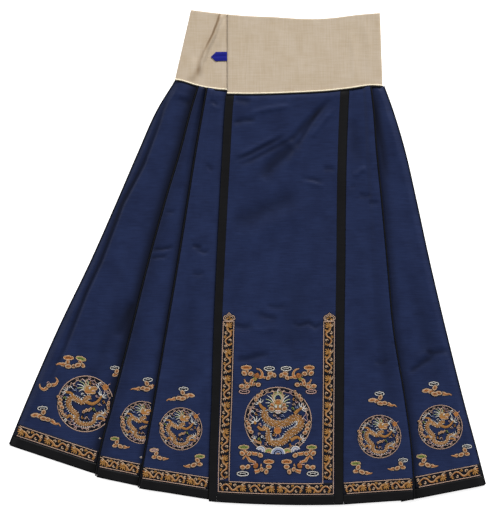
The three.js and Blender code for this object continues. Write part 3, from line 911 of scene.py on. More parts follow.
def add_cord(name, places, radius, look, nodes):
    """A round cord along places, swept from a circle and closed at both ends."""
    route = bpy.data.curves.new(name, "CURVE")
    route.dimensions = "3D"
    route.bevel_depth = radius * MM
    route.bevel_resolution = 3
    route.use_fill_caps = True
    spline = route.splines.new("POLY")
    spline.points.add(len(places) - 1)
    for point, place in zip(spline.points, places):
        point.co = (*(np.array(place) * MM), 1)
    shape = bpy.data.objects.new(name + "_route", route)
    bpy.context.scene.collection.objects.link(shape)
    evaluated = shape.evaluated_get(bpy.context.evaluated_depsgraph_get())
    mesh = bpy.data.meshes.new_from_object(evaluated)
    bpy.data.objects.remove(shape)
    bpy.data.curves.remove(route)
    mesh.name = name
    mesh.materials.clear()
    mesh.polygons.foreach_set("use_smooth", [True] * len(mesh.polygons))
    piece = add_object(name, mesh, [look["material"]])
    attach(piece, "root")
    if nodes:
        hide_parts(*nodes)


def piping_places(name, at_left, radius, z):
    """The middle of a cord in a fold edge, from the waist to just short of the hem's edge."""
    places = []
    for share in np.linspace(0, 1 - CORD_SHORT / PATCHES[name].length, PIPING_STEPS + 1):
        row = Row(PATCHES[name], share)
        x = np.array(row.x_left + radius if at_left else row.x_right - radius)
        y = row.y_at(x)
        places.append((float(x), float(y), z + float(relief(name, row, x, y))))
    return places


FRONT_PIPING_Z = (front_layer(1) + front_layer(2)) / 2
BACK_PIPING_Z = (back_layer(0) + back_layer(1)) / 2
for name, patch_name, at_left, radius, z in [
    ("piping_left_1", "gore_left_2", True, PIPING_RADIUS, FRONT_PIPING_Z),
    ("piping_left_2", "gore_left_3", True, PIPING_RADIUS, FRONT_PIPING_Z),
    ("piping_right_1", "gore_right_1", False, PIPING_RADIUS, FRONT_PIPING_Z),
    ("piping_back_1", "gore_back_2", False, PIPING_RADIUS, BACK_PIPING_Z),
    ("piping_back_2", "gore_back_3", False, PIPING_RADIUS, BACK_PIPING_Z),
    ("piping_back_3", "gore_back_4", True, PIPING_RADIUS, BACK_PIPING_Z),
    ("piping_left_side", "gore_left_1", True, SIDE_PIPING_RADIUS, SIDE_PIPING_RADIUS),
    ("piping_right_side", "gore_right_2", False, SIDE_PIPING_RADIUS, SIDE_PIPING_RADIUS),
]:
    places = piping_places(patch_name, at_left, radius, z)
    add_cord("cord_" + name, places, radius + CORD_TOUCH, LOOKS["black"], [name])

# Waistband: one strip from its free end over the front, round the right side, across the back, round the left
# side and on under itself

BAND_LEFT = (-144, -112)
BAND_RIGHT = (270, 265)
BAND_LAP_END = -40
BAND_UNDER_END = 170
BAND_LAP_HEIGHT = FRONT_BASE + COTTON + GAP
LAP_Z = BAND_LAP_HEIGHT + COTTON / 2
UNDER_Z = FRONT_BASE + COTTON / 2
REST_Z = COTTON / 2
BAND_SHELL = 1.4
BAND_CLOTH_SIZE = (1130, 150)
# How much of the satin's unevenness the stiffer band has, and how its relief fades in: from its free end and
# its two sides in millimetres, from its foot and top in shares of its height
BAND_UNEVEN = 0.35
BAND_END_FADE = 6
BAND_SIDE_FADE = 14
BAND_FOOT_FADE = 0.08
BAND_TOP_FADE = 0.05
BAND_LAP_CLEAR = 2
BAND_ROWS = 56
BAND_COLUMNS = {"lap": 84, "turn": 8, "back": 50, "under": 150}

# Creases of the waistband's two front stretches
BAND_CREASES = {
    "lap": [
        (1.0, 5, [(205, 455), (214, 400), (212, 360)]),
        (-0.6, 5, [(222, 470), (228, 410), (224, 356)]),
        (0.9, 4, [(236, 470), (244, 420), (240, 370)]),
        (-0.5, 9, [(-10, 470), (-4, 420), (-8, 350)]),
        (0.4, 14, [(60, 470), (70, 400), (64, 345)]),
        (-0.3, 12, [(130, 465), (124, 400), (130, 345)]),
    ],
    "under": [
        (5.0, 4.2, [(-48, 500), (-56, 474), (-66, 446), (-82, 415), (-90, 391), (-93, 362)]),
        (-1.6, 2.6, [(-54, 498), (-72, 446), (-89, 413), (-97, 380)]),
        (1.6, 5, [(-44, 476), (-54, 446), (-60, 420)]),
        (1.4, 8, [(-104, 400), (-110, 370), (-116, 350)]),
        (0.4, 8, [(-118, 470), (-128, 420), (-134, 375)]),
    ],
}


def half_turn(x, middle, radius, steps):
    """Points of x and z round a half circle."""
    angles = np.linspace(0, np.pi, steps + 1)
    return np.stack([x + radius * np.sin(angles), middle + abs(radius) * np.cos(angles)], axis=1)


def run_between(x0, x1, z, steps):
    """Points of x and z on a level stretch."""
    return np.stack([np.linspace(x0, x1, steps + 1), np.full(steps + 1, z)], axis=1)


def band_line(share):
    """The band's section at a share of its height, with the stretch that each point belongs to."""
    left_x, right_x = lerp(*BAND_LEFT, share), lerp(*BAND_RIGHT, share)
    right_radius, left_radius = (LAP_Z - REST_Z) / 2, (UNDER_Z - REST_Z) / 2
    turn = BAND_COLUMNS["turn"]
    right = half_turn(right_x - right_radius, REST_Z + right_radius, right_radius, turn)
    left = half_turn(left_x + left_radius, REST_Z + left_radius, -left_radius, turn)[::-1]
    lap = run_between(BAND_LAP_END, right[0, 0], LAP_Z, BAND_COLUMNS["lap"])
    back = run_between(right[-1, 0], left[0, 0], REST_Z, BAND_COLUMNS["back"])
    under = run_between(left[-1, 0], BAND_UNDER_END, UNDER_Z, BAND_COLUMNS["under"])
    parts = [
        ("lap", lap),
        ("turn_right", right[1:]),
        ("back", back[1:]),
        ("turn_left", left[1:]),
        ("under", under[1:]),
    ]
    labels = np.concatenate([[label] * len(points) for label, points in parts])
    return np.concatenate([points for _, points in parts]), labels


def band_foot(x, z):
    """Height of the band's lower edge, eased from the back's seam to the front's round the two turns."""
    over = read_curve(LAP_SEAM, "x", "y", x)
    under = read_curve(UNDER_SEAM, "x", "y", x)
    front = np.where((x <= BAND_UNDER_END) & (z < BAND_LAP_HEIGHT), under, over)
    back = read_curve(BACK_SEAM, "x", "y", x)
    return lerp(back, front, smooth((z - REST_Z) / (UNDER_Z - REST_Z))) + GAP


def band_relief(x, y, labels, share):
    """Creases of the band's front stretches, held down at its edges and its two sides."""
    rise = np.zeros(x.shape)
    for stretch, creases in BAND_CREASES.items():
        shown = labels == stretch
        if stretch == "under":
            shown = shown & (x < BAND_LAP_END)
        lift = BAND_UNEVEN * unevenness(x, y)
        for crease in creases:
            lift = lift + route_lift(x, y, *crease)
        apart = x - BAND_LAP_END if stretch == "lap" else BAND_LAP_END - BAND_LAP_CLEAR - x
        rise = rise + np.where(shown, lift * smooth(apart / BAND_END_FADE), 0)
    left_side = smooth((x - lerp(*BAND_LEFT, share)) / BAND_SIDE_FADE)
    right_side = smooth((lerp(*BAND_RIGHT, share) - x) / BAND_SIDE_FADE)
    foot_and_top = smooth(share / BAND_FOOT_FADE), smooth((1 - share) / BAND_TOP_FADE)
    return rise * (left_side * right_side) * foot_and_top[0] * foot_and_top[1]


# Painted shade in and beside the band's pinched crease, and along the edge of the lap's end: share, half
# width and route
BAND_PAINTED_SHADE = [
    (0.85, 2.4, [(-50, 506), (-58, 474), (-69, 446), (-78, 428), (-86, 410)]),
    (0.35, 4, [(-84, 420), (-96, 392), (-99, 360)]),
    (0.3, 6, [(-92, 384), (-104, 366), (-112, 350)]),
    (0.3, 3, [(-36, 478), (-36, 420), (-36, 350)]),
]

band_places, band_shades = [], []
for share in np.linspace(1, 0, BAND_ROWS + 1):
    line, labels = band_line(share)
    x, z = line[:, 0], line[:, 1]
    y = lerp(band_foot(x, z), read_curve(BAND_TOP, "x", "y", x), share)
    band_places.append(np.stack([x, y, z + band_relief(x, y, labels, share)], axis=1))
    # The under stretch's painted shade, in its crease and beside the lap's end
    band_shade = sum(route_lift(x, y, *streak) for streak in BAND_PAINTED_SHADE)
    band_shades.append(np.where((labels == "under") & (x < BAND_LAP_END), np.clip(band_shade, 0, 1), 0))
band_places = np.array(band_places)
band = add_object(
    "band_strip",
    grid_mesh("waistband", band_places, BAND_CLOTH_SIZE, np.array(band_shades)),
    [LOOKS["cotton"]["material"]],
)
finish_sheet(band, ["waistband"], BAND_SHELL)

# A rolled edge along the band's foot, paler than the band as a painted highlight, and below it a thin black
# cord of satin that is a painted shadow under the roll
BEAD_RADIUS = 1.5
BEAD_INSET = 0.9
BEAD_RAISE = {"front": 0.35, "back": 0.75}
BEAD_LAP = 4
EDGE_LINE_RADIUS = 1.7
EDGE_LINE_BELOW = (0, 2.9, 0.2)
foot = band_places[-1]
shown = [i for i in range(len(foot)) if labels[i] != "under" or foot[i, 0] < BAND_LAP_END + BEAD_LAP]
bead_places = [
    foot[i] + (0, BEAD_INSET, BEAD_RAISE["front" if foot[i, 2] > UNDER_Z - 0.5 else "back"]) for i in shown
]
add_cord("band_rolled_edge", bead_places, BEAD_RADIUS, LOOKS["ivory"], None)
# Black cords under the rolled edge: painted shadow
shadow_lines = {
    stretch: [place - EDGE_LINE_BELOW for place, i in zip(bead_places, shown) if labels[i] == stretch]
    for stretch in ("lap", "under")
}
for stretch, places in shadow_lines.items():
    add_cord("shadow_line_" + stretch, places, EDGE_LINE_RADIUS, LOOKS["black"], None)

# Tab: a short pointed strip of blue ribbon, folded lengthwise, sewn to the band's free end

TAB = {"length": 32, "width": 18, "point": 9, "middle_y": 402}
TAB_SHELL = 0.9
TAB_FOLD = {"depth": 0.55, "half_width": 0.22}


def tab_half_width(u):
    """Half the tab's width at a share of its length from the point to the band."""
    return TAB["width"] / 2 * min(1, u * TAB["length"] / TAB["point"]) + 0.15


tab_places = []
for v in np.linspace(1, -1, 19):
    line = []
    for u in np.linspace(0, 1, 33):
        x = BAND_LAP_END - GAP - TAB["length"] * (1 - u)
        y = TAB["middle_y"] + v * tab_half_width(u) - 1.2 * (1 - u) + 0.4 * math.sin(3 * u)
        fold = TAB_FOLD["depth"] * math.exp(-((v / TAB_FOLD["half_width"]) ** 2))
        ripple = 0.3 * math.sin(9 * u + 2 * v) * u * (1 - u)
        line.append((x, y, BAND_LAP_HEIGHT + 0.5 + 0.5 * (1 - v * v) + ripple - fold))
    tab_places.append(line)
tab_places = np.array(tab_places)
tab = add_object(
    "tab_ribbon",
    grid_mesh("waist_tab", tab_places, (TAB["length"], TAB["width"])),
    [LOOKS["tab"]["material"]],
)
finish_sheet(tab, ["waist_tab"], TAB_SHELL)

# Ribbons: dark borders with woven edges, sewn on above the hem and up both sides of the front panel

RIBBON_LIFT = 0.8
RIBBON_SHELL = 0.5


def cloth_line(name, share):
    """A row of a body sheet, and the sheet's softened section along it."""
    patch = PATCHES[name]
    row = Row(patch, share)
    return row, soften(expand(SECTIONS[name](row)))


def ribbon_places(name, span, row_count, limits, columns):
    """Points of a ribbon lying on a body sheet between two limits of x in each row."""
    places = []
    for share in np.linspace(*span, row_count + 1):
        row, line = cloth_line(name, share)
        x = np.linspace(*limits(row), columns + 1)
        shown = line[line[:, 0].argmin() : line[:, 0].argmax() + 1]
        z = np.interp(x, shown[:, 0], shown[:, 1])
        y = row.y_at(x)
        places.append(np.stack([x, y, z + RIBBON_LIFT + relief(name, row, x, y)], axis=1))
    return np.array(places)


def add_ribbon(name, body_name, span, row_count, limits, columns):
    """A border ribbon lying on a body sheet."""
    places = ribbon_places(body_name, span, row_count, limits, columns)
    size = (np.ptp(places[:, :, 0]), np.ptp(places[:, :, 1]))
    piece = add_object("ribbon_" + name, grid_mesh(name, places, size), [LOOKS["ribbon"]["material"]])
    finish_sheet(piece, [], RIBBON_SHELL)
    return piece


# Threads: colour, metallic and roughness of each kind

THREADS = {
    "gold": ("#a37640", 0.2, 0.45),
    "pale_gold": ("#b4977b", 0.15, 0.5),
    "copper": ("#9c6236", 0.2, 0.5),
    "orange": ("#a86834", 0.0, 0.55),
    "peach": ("#b59784", 0.0, 0.6),
    "white": ("#c6c4c0", 0.0, 0.5),
    "green": ("#7d8844", 0.0, 0.5),
    "pale_green": ("#a6ad88", 0.0, 0.5),
    "pink": ("#b3918a", 0.0, 0.5),
    "blue": ("#7f89a6", 0.0, 0.5),
    "brown": ("#6f4629", 0.1, 0.55),
    # dark is real dark thread in eyes, caps and curls, and is also laid as halos and pads round and behind
    # motifs, where it is painted shadow
    "dark": ("#080a18", 0.0, 0.8),
}
THREAD_ORDER = list(THREADS)
# Each level of thread lies this much above the last. Until threads are dropped on the cloth, their level is
# held as a height of so many millimetres for each level, out of reach of any thread's own thickness.
LEVEL_STEP = 0.3
LEVEL_CODE = 20
# How high a thread's top stands, and the thickness at which it has flattened out
THREAD_RISE = 0.35
THREAD_FLAT = 0.6
THREAD_SHADE = 0.62


def thread_material(name, colour, metallic, roughness):
    """Couched embroidery thread: silk floss, or gilt paper wound round silk, seen as a fine broken glint.

    The windings are drawn coarser than real ones, so that they show.
    """
    material, tree, shader = start_material(name)
    place = add_node(tree, "TexCoord").outputs["Object"]
    wraps = add_node(tree, "TexNoise", {"Vector": place, "Scale": 1 / 0.0014, "Detail": 1.0})
    spread = add_node(tree, "MapRange", {"Value": wraps.outputs["Fac"], "From Min": 0.35, "From Max": 0.65})
    tint = add_node(tree, "Mix", {"Factor": spread.outputs["Result"]}, data_type="RGBA")
    light = linear(colour)
    tint.inputs[6].default_value = (*[c * THREAD_SHADE for c in light[:3]], 1)
    tint.inputs[7].default_value = light
    tree.links.new(tint.outputs[2], shader.inputs["Base Color"])
    bump = add_node(tree, "Bump", {"Height": wraps.outputs["Fac"], "Strength": 0.4, "Distance": 0.0004})
    tree.links.new(bump.outputs["Normal"], shader.inputs["Normal"])
    shader.inputs["Metallic"].default_value = metallic
    shader.inputs["Roughness"].default_value = roughness
    shader.inputs["Specular IOR Level"].default_value = 0.15
    return material


THREAD_LOOKS = [
    thread_material(f"{name.replace('_', ' ')} embroidery thread", *values)
    for name, values in THREADS.items()
]


def rounded(points, pitch, closed=False):
    """A smooth line through points, taken again at an even pitch."""
    points = np.array(points, dtype=float)
    if len(points) > 2 or closed:
        ends = (points[-1], points[0], points[1]) if closed else (
            2 * points[0] - points[1], None, 2 * points[-1] - points[-2]
        )
        parts = [ends[0][None], points] + ([ends[1][None], ends[2][None]] if closed else [ends[2][None]])
        wide = np.concatenate(parts)
        a, b, c, d = wide[:-3], wide[1:-2], wide[2:-1], wide[3:]
        t = (np.arange(6) / 6)[:, None, None]
        square, cube = 2 * a - 5 * b + 4 * c - d, 3 * b - a - 3 * c + d
        curve = 0.5 * (2 * b + (c - a) * t + square * t**2 + cube * t**3)
        line = np.concatenate([curve.transpose(1, 0, 2).reshape(-1, 2), c[-1:]])
    else:
        line = points
    gone = np.concatenate(([0], np.cumsum(np.hypot(*np.diff(line, axis=0).T))))
    count = max(2, int(round(gone[-1] / pitch)) + 1)
    at = np.linspace(0, gone[-1], count)
    return np.stack([np.interp(at, gone, line[:, i]) for i in (0, 1)], axis=1)


def arc(x, y, rx, ry, start, end, count=9):
    """Points on an elliptical arc between two angles in degrees."""
    turns = np.radians(np.linspace(start, end, count))
    return np.stack([x + rx * np.cos(turns), y + ry * np.sin(turns)], axis=1)


def spiral(x, y, radius, start, sweep, count=9):
    """Points winding in towards a middle, from a start angle through a sweep in degrees."""
    turns = np.radians(start + np.linspace(0, sweep, count))
    reach = radius * np.linspace(1, 0.25, count)
    return np.stack([x + reach * np.cos(turns), y + reach * np.sin(turns)], axis=1)


class Motif:
    """Strokes of thread in a motif's own millimetres."""

    def __init__(self):
        self.strokes = []

    def line(self, colour, radius, points, level=1, closed=False, taper=0.0, pitch=None):
        """One stroke. radius is one size or one for each end, and taper thins both ends."""
        start, end = radius if isinstance(radius, tuple) else (radius, radius)
        line = rounded(points, pitch or max(1.6, 0.5 * min(start, end) + 1.0), closed)
        share = np.linspace(0, 1, len(line))
        width = lerp(start, end, share)
        if taper:
            width = width * (1 - taper * (2 * share - 1) ** 4)
        self.strokes.append((colour, line, width, level, closed))
        return self

    def fill(self, colour, outline, level=1, edge=None, edge_radius=0.7, halo=0.0):
        """A closed shape filled by strokes that follow its outline inwards, with an edge and a dark halo, a
        painted shadow round the raised thread.
        """
        outline = np.array(outline, dtype=float)
        middle = outline.mean(axis=0)
        reach = np.hypot(*(outline - middle).T).max()
        rounds = max(1, int(math.ceil(reach / 2.6)))
        for ring in range(rounds):
            share = 1 - (ring + 0.5) / rounds
            ring = middle + (outline - middle) * share
            self.line(colour, reach / rounds / 2 + 0.35, ring, level, True, pitch=2.4)
        if halo:
            self.line("dark", halo, outline, level - 1, True, pitch=2.6)
        if edge:
            self.line(edge, edge_radius, outline, level + 1, True, pitch=2.0)
        return self

    def blob(self, colour, x, y, half_length, half_width, turn=0.0, level=1):
        """An oval pad of thread, laid as one stroke that swells and thins again."""
        along = np.array([-1, -0.86, -0.55, 0, 0.55, 0.86, 1])
        way = np.array([math.cos(math.radians(turn)), math.sin(math.radians(turn))])
        line = np.array([x, y]) + along[:, None] * half_length * way
        width = half_width * np.sqrt(np.maximum(1 - along**2, 0.02))
        self.strokes.append((colour, line, width, level, False))
        return self

    def add(self, other, x=0.0, y=0.0, turn=0.0, scale=1.0, mirror=False, level=0):
        """Another motif's strokes, mirrored, scaled, turned and moved into this one."""
        cos, sin = math.cos(math.radians(turn)), math.sin(math.radians(turn))
        for colour, line, width, stroke_level, closed in other.strokes:
            px = line[:, 0] * (-scale if mirror else scale)
            py = line[:, 1] * scale
            placed = np.stack([x + cos * px - sin * py, y + sin * px + cos * py], axis=1)
            width = np.maximum(width * scale, 0.4)
            self.strokes.append((colour, placed, width, stroke_level + level, closed))
        return self


def cloud_cap(colour, edge):
    """The oval head of a cloud: a waved outline round a filled or an open middle with one curl in it."""
    cap = Motif()
    # The dark pad is the middle of a dark cap; beyond the waved outline, and under a coloured cap, it is
    # painted shadow
    cap.blob("dark", 0, 0, 12.5, 6.2, 0, 0)
    if colour != "dark":
        cap.blob(colour, 0, 0, 9.6, 4.2, 0, 1)
    outline = [
        (-10, -1), (-8.5, 2.4), (-4, 3.2), (0, 4.4), (4, 3.2), (8.5, 2.4), (10, -1), (6, -3.4),
        (0, -3.8), (-6, -3.4),
    ]
    cap.line(edge, 0.8, outline, 2, True)
    cap.line(edge if colour == "dark" else "dark", 0.5, arc(0, -0.8, 5.2, 1.6, 200, -20, 5), 3)
    return cap


def puff(x, y, half_length, half_width, turn=0.0, colour="gold"):
    """One lobe of a cloud: a pale pad with a warmer middle and a curl, on a slightly larger dark pad that is
    a painted shadow round it.
    """
    part = Motif()
    level = 3 if colour == "orange" else 0
    part.blob("dark", x, y, half_length + 1.2, half_width + 1.1, turn, level)
    pad = "pale_gold" if colour in ("gold", "orange") else colour
    middle = "orange" if colour == "gold" else "copper"
    part.blob(pad, x, y, half_length, half_width, turn, level + 1)
    part.blob(middle, x, y, half_length * 0.62, half_width * 0.5, turn, level + 2)
    part.line("brown", 0.5, spiral(x, y, half_width * 0.55, turn + 30, 330, 6), level + 3)
    return part


def lobe(x, y, size, start, colour="gold"):
    """A nearly round lobe with its curl turned a given way, on top of the bands."""
    return Motif().add(puff(x, y, size * 1.4, size * 1.15, start, colour), level=3)


def sweep(points, widths, colour="gold"):
    """A padded band of thread that thins along its way, pale at its edges and warmer in the middle."""
    part = Motif()
    # A dark line a little wider than the band: painted shadow round it
    part.line("dark", (widths[0] + 1.4, widths[1] + 1.2), points, 0)
    part.line("pale_gold", widths, points, 1)
    inner = "orange" if colour == "gold" else colour
    part.line(inner, (widths[0] * 0.55, widths[1] * 0.5), points, 2, taper=0.4)
    return part


def cloud(colour, edge, drop):
    """A lucky cloud: its cap above, a heap of lobes, and a tail that runs out to a point lower down."""
    whole = Motif()
    whole.add(cloud_cap(colour, edge), 2, 14)
    whole.add(sweep([(22, -0.5 * drop - 2), (30, -0.78 * drop), (35, -0.74 * drop), (40, -drop)], (3.4, 0.7)))
    whole.add(puff(22, -0.45 * drop - 2, 7, 4.2, -0.9 * drop))
    whole.add(puff(13, -0.3 * drop - 2, 6.5, 4.4, -12, "orange"))
    whole.add(puff(-14, 0, 9, 4.6, 8))
    whole.add(puff(4, -7, 8, 4.8, -10, "orange"))
    whole.add(puff(-3, -2, 7.5, 4.8, 10))
    whole.add(puff(4, 6, 6, 4.8, 60, "orange"))
    return whole


def small_cloud(colour, edge, tail=True):
    """A smaller cloud that winds down from its cap to a point at one side."""
    whole = Motif()
    whole.add(cloud_cap(colour, edge), -6, 12)
    if tail:
        whole.add(sweep([(17, -8), (23, -9), (29, -8)], (3.2, 0.7)))
        whole.add(puff(16, -8, 6.5, 4, -8))
    whole.add(puff(7, -6, 7, 4.6, -25, "orange"))
    whole.add(puff(-5, -4, 7, 4.6, 12))
    whole.add(puff(-1, 4, 6, 4.8, 60, "orange"))
    return whole


def twin_cloud():
    """A cloud with two caps, and a tail at its left."""
    whole = Motif()
    whole.add(cloud_cap("orange", "pale_gold"), -8, 9)
    whole.add(cloud_cap("green", "pale_gold"), 17, 9, turn=-12)
    whole.add(sweep([(-20, -5), (-26, -4), (-32, -7)], (3.4, 0.7)))
    for x, y, long, wide, turn, colour in [
        (-17, -5, 7, 4.2, 0, "gold"), (-7, -8, 7, 4.6, 0, "orange"), (-9, 0, 6, 4.4, 80, "gold"),
        (4, -7, 6, 4.2, 10, "gold"),
        (12, -4, 7, 4.4, 20, "orange"), (21, -4, 6, 4.2, -40, "gold"), (16, 2, 5, 4, 90, "gold"),
    ]:
        whole.add(puff(x, y, long, wide, turn, colour))
    return whole


def bat():
    """A small bat, its two wings curled up like horns."""
    whole = Motif()
    whole.add(sweep([(-19, 8), (-20, 0), (-14, -7), (-5, -5)], (1.0, 4.4)))
    whole.add(sweep([(19, 10), (21, 2), (14, -4), (5, -3)], (1.0, 4.6)))
    whole.add(puff(0, -2, 6, 4.6, 0, "orange"))
    whole.add(puff(-9, -6, 4.6, 3.6, 0))
    whole.add(puff(9, -4, 4.6, 3.6, 0))
    whole.line("pink", 0.7, [(-3, 4), (0, 6.5), (3, 4)], 3)
    return whole


def cluster():
    """A corner group: three caps, a bat with a long curled wing between them and linked lobes."""
    whole = Motif()
    whole.add(cloud_cap("orange", "pale_gold"), -22, 24)
    whole.add(sweep([(-21, 19), (-20, 12), (-12, 13), (-6, 8)], (3.8, 3.0)))
    whole.add(lobe(-26, 13, 4.2, 140))
    whole.add(lobe(-13, 12, 3.8, 20))
    whole.add(sweep([(-2, 22), (6, 19), (10, 12), (8, 5), (2, 6), (-6, 6)], (1.0, 4.6)))
    whole.add(lobe(-1, 8, 4.0, 60, "copper"))
    whole.add(lobe(-5, 1, 3.0, 0, "green"))
    whole.add(cloud_cap("dark", "white"), 24, 22)
    whole.add(sweep([(24, 17), (23, 11), (30, 7), (35, 9)], (3.6, 2.4)))
    whole.add(lobe(26, 12, 4.2, 10))
    whole.add(lobe(34, 9, 3.4, -60))
    whole.add(lobe(22, 4, 3.6, 220))
    whole.add(sweep([(10, 5), (16, 4), (22, 3)], (1.8, 3.0)))
    whole.add(sweep([(-26, 1), (-23, -6), (-15, -9), (-10, -2)], (1.0, 3.8)))
    whole.add(sweep([(-34, -14), (-24, -12), (-14, -12), (-4, -9), (8, -11)], (3.4, 2.4)))
    for x, y, size, start in [
        (-31, -13, 4.0, 180), (-20, -14, 3.8, 30), (-12, -8, 3.6, 90), (2, -10, 3.8, 0),
        (-10, -2, 3.4, 45),
    ]:
        whole.add(lobe(x, y, size, start))
    whole.add(cloud_cap("dark", "pink"), -26, -24)
    whole.add(sweep([(-26, -20), (-24, -16), (-20, -14)], (2.6, 2.6)))
    return whole


CLAWS = 5


def claws(size):
    """A foot with its claws spread in a fan, towards +y."""
    foot = Motif()
    for i in range(CLAWS):
        turn = math.radians(90 + (i - (CLAWS - 1) / 2) * 34)
        tip = np.array([math.cos(turn), math.sin(turn)])
        hook = np.array([-tip[1], tip[0]]) * (1.6 if i >= CLAWS / 2 else -1.6)
        # A dark line under each claw: painted shadow round it
        foot.line("dark", 1.7, [tip * 2, tip * 7 + hook, tip * 11], 1)
        foot.line("white", (1.0, 0.5), [tip * 2, tip * 7 + hook, tip * 11], 3)
    foot.line("gold", 2.6, arc(0, 0.5, 1.6, 1.4, 0, 340, 6), 3)
    scaled = Motif()
    return scaled.add(foot, scale=size)


SCALE_PITCH = 3.8


def scaled_body(route, widths, rise=1.0):
    """A dragon's body along a route: staggered rows of gold scales, a white spine and a beaded belly line."""
    body = Motif()
    line = rounded(route, SCALE_PITCH)
    share = np.linspace(0, 1, len(line))
    half = np.interp(share, np.linspace(0, 1, len(widths)), widths) / 2
    # A dark stroke wider than the body: painted shadow round it
    body.strokes.append(("dark", line, half + 2.2, 0, False))
    body.strokes.append(("brown", line, half, 1, False))
    along = np.gradient(line, axis=0)
    along /= np.hypot(*along.T)[:, None]
    across = np.stack([-along[:, 1], along[:, 0]], axis=1)
    for i in range(len(line)):
        offsets = (-0.72, -0.24, 0.24, 0.72) if i % 2 else (-0.48, 0.0, 0.48)
        for k, offset in enumerate(offsets):
            middle = line[i] + across[i] * offset * half[i]
            colour = "pale_gold" if (i + k) % 3 == 0 else "gold"
            body.strokes.append((
                colour,
                np.array([middle - along[i] * 2.0, middle, middle + along[i] * 2.0]),
                np.array([half[i] * 0.1, half[i] * 0.18, half[i] * 0.04]),
                2,
                False,
            ))
        root = line[i] + across[i] * half[i]
        body.line("white", (0.95, 0.4), [root, root + across[i] * 3.0 * rise - along[i] * 1.4], 2, pitch=2)
        edge = line[i] - across[i] * half[i]
        body.line("white" if i % 2 else "pale_gold", 0.75, [edge, edge + along[i] * 1.6], 2, pitch=2)
    return body


def limb(points, widths=(3.6, 2.2)):
    """A leg: a padded gold band with copper bars across it."""
    part = Motif()
    # A dark line wider than the leg: painted shadow round it
    part.line("dark", (widths[0] + 1.2, widths[1] + 1.2), points, 0)
    part.line("gold", widths, points, 1)
    line = rounded(points, 3.0)
    along = np.gradient(line, axis=0)
    for place, way in zip(line[1:-1], along[1:-1]):
        bar = np.array([-way[1], way[0]]) / np.hypot(*way) * 2.0
        part.line("copper", 0.4, [place - bar, place + way * 0.3, place + bar], 2, pitch=1.8)
    return part


def front_head():
    """A dragon's face seen from the front, calm and broad, with horns and a spread mane."""
    head = Motif()
    for side in (-1, 1):
        for i, (turn, length, colour) in enumerate(
            [
                (34, 30, "pale_green"), (47, 33, "white"), (60, 30, "pale_green"), (20, 27, "white"),
                (6, 22, "pale_green"),
            ]
        ):
            angle = math.radians(turn)
            tip = np.array([side * math.cos(angle), math.sin(angle)])
            bend = np.array([-tip[1] * side, tip[0] * side]) * 2.5
            # A dark line under each strand of the mane: painted shadow round it
            head.line("dark", 2.0, [tip * 11, tip * length * 0.7 + bend, tip * length], 0)
            head.line(colour, (1.3, 0.6), [tip * 11, tip * length * 0.7 + bend, tip * length], 2)
        horn = [(side * 7, 12), (side * 11, 22), (side * 8, 30), (side * 13, 33)]
        head.line("pale_gold", (1.5, 0.8), horn, 3)
        head.add(lobe(side * 13, -3, 4.4, 90 - side * 60, "orange"))
        head.add(lobe(side * 12, 5, 3.4, 90 - side * 60))
    face = [
        (-10, 4), (-9, 11), (-4, 15), (4, 15), (9, 11), (10, 4), (9, -4), (6, -10), (0, -13), (-6, -10),
        (-9, -4),
    ]
    head.fill("gold", face, 2, "pale_gold", 0.7, halo=2.2)
    head.line("copper", 0.6, arc(0, 9, 4.5, 4, 0, 360, 9), 4)
    head.line("orange", 1.2, arc(0, 9, 1.6, 1.4, 0, 330, 6), 4)
    for side in (-1, 1):
        head.line("white", 1.5, arc(side * 4.4, 1.6, 1.7, 1.5, 0, 330, 6), 4)
        head.line("dark", 0.8, [(side * 4.0, 1.3), (side * 4.8, 1.3)], 5)
        head.line("pale_green", 0.8, [(side * 1.2, 4.0), (side * 5, 5.6), (side * 9, 4.2)], 4)
        whisker = [(side * 4, -7), (side * 14, -10), (side * 20, -5), (side * 27, -8)]
        head.line("white", (0.9, 0.5), whisker, 5)
        head.line("copper", 0.8, spiral(side * 3, -3.4, 2.4, 90, side * 300, 7), 4)
    head.line("pink", 1.5, [(-4, -7.6), (0, -8.6), (4, -7.6)], 4)
    head.line("white", 0.8, [(-4.5, -6.2), (-1.5, -7), (1.5, -7), (4.5, -6.2)], 5)
    head.line("white", 0.9, [(-4, -10.6), (0, -12), (4, -10.6)], 4)
    return head


def side_head():
    """A dragon's head in profile, facing right, with its mane streaming back."""
    head = Motif()
    for i, (turn, length, colour) in enumerate(
        [
            (100, 19, "pale_green"), (118, 21, "white"), (136, 22, "pale_green"), (154, 22, "white"),
            (172, 20, "pale_green"), (190, 17, "white"),
        ]
    ):
        angle = math.radians(turn)
        tip = np.array([math.cos(angle), math.sin(angle)])
        bend = np.array([-tip[1], tip[0]]) * (-2.0)
        # A dark line under each strand of the mane: painted shadow round it
        head.line("dark", 1.8, [tip * 6, tip * length * 0.65 + bend, tip * length], 0)
        head.line(colour, (1.1, 0.5), [tip * 6, tip * length * 0.65 + bend, tip * length], 2)
    skull = [
        (-8, 1), (-5, 6), (1, 7), (6, 4.5), (12, 5.5), (16, 3), (14, -0.5), (7, -1), (12, -4), (11, -7),
        (3, -7), (-4, -6),
    ]
    head.fill("gold", skull, 2, "pale_gold", 0.7, halo=2.0)
    head.line("white", 1.2, arc(2.5, 3, 1.2, 1.0, 0, 330, 5), 4)
    head.line("dark", 0.6, [(2.6, 3), (3.1, 3)], 5)
    head.line("pink", 1.0, [(6, -2.4), (11, -2.4)], 4)
    head.line("white", 0.7, [(15, 4), (19, 7), (18, 11), (23, 13)], 4)
    head.line("pale_gold", (1.4, 0.7), [(-2, 6), (-5, 13), (-1, 18)], 4)
    head.line("copper", 0.6, spiral(13, 3, 2.2, 180, 300, 6), 4)
    head.line("orange", 1.3, [(-6, -3), (-2, -4), (2, -4)], 4)
    return head


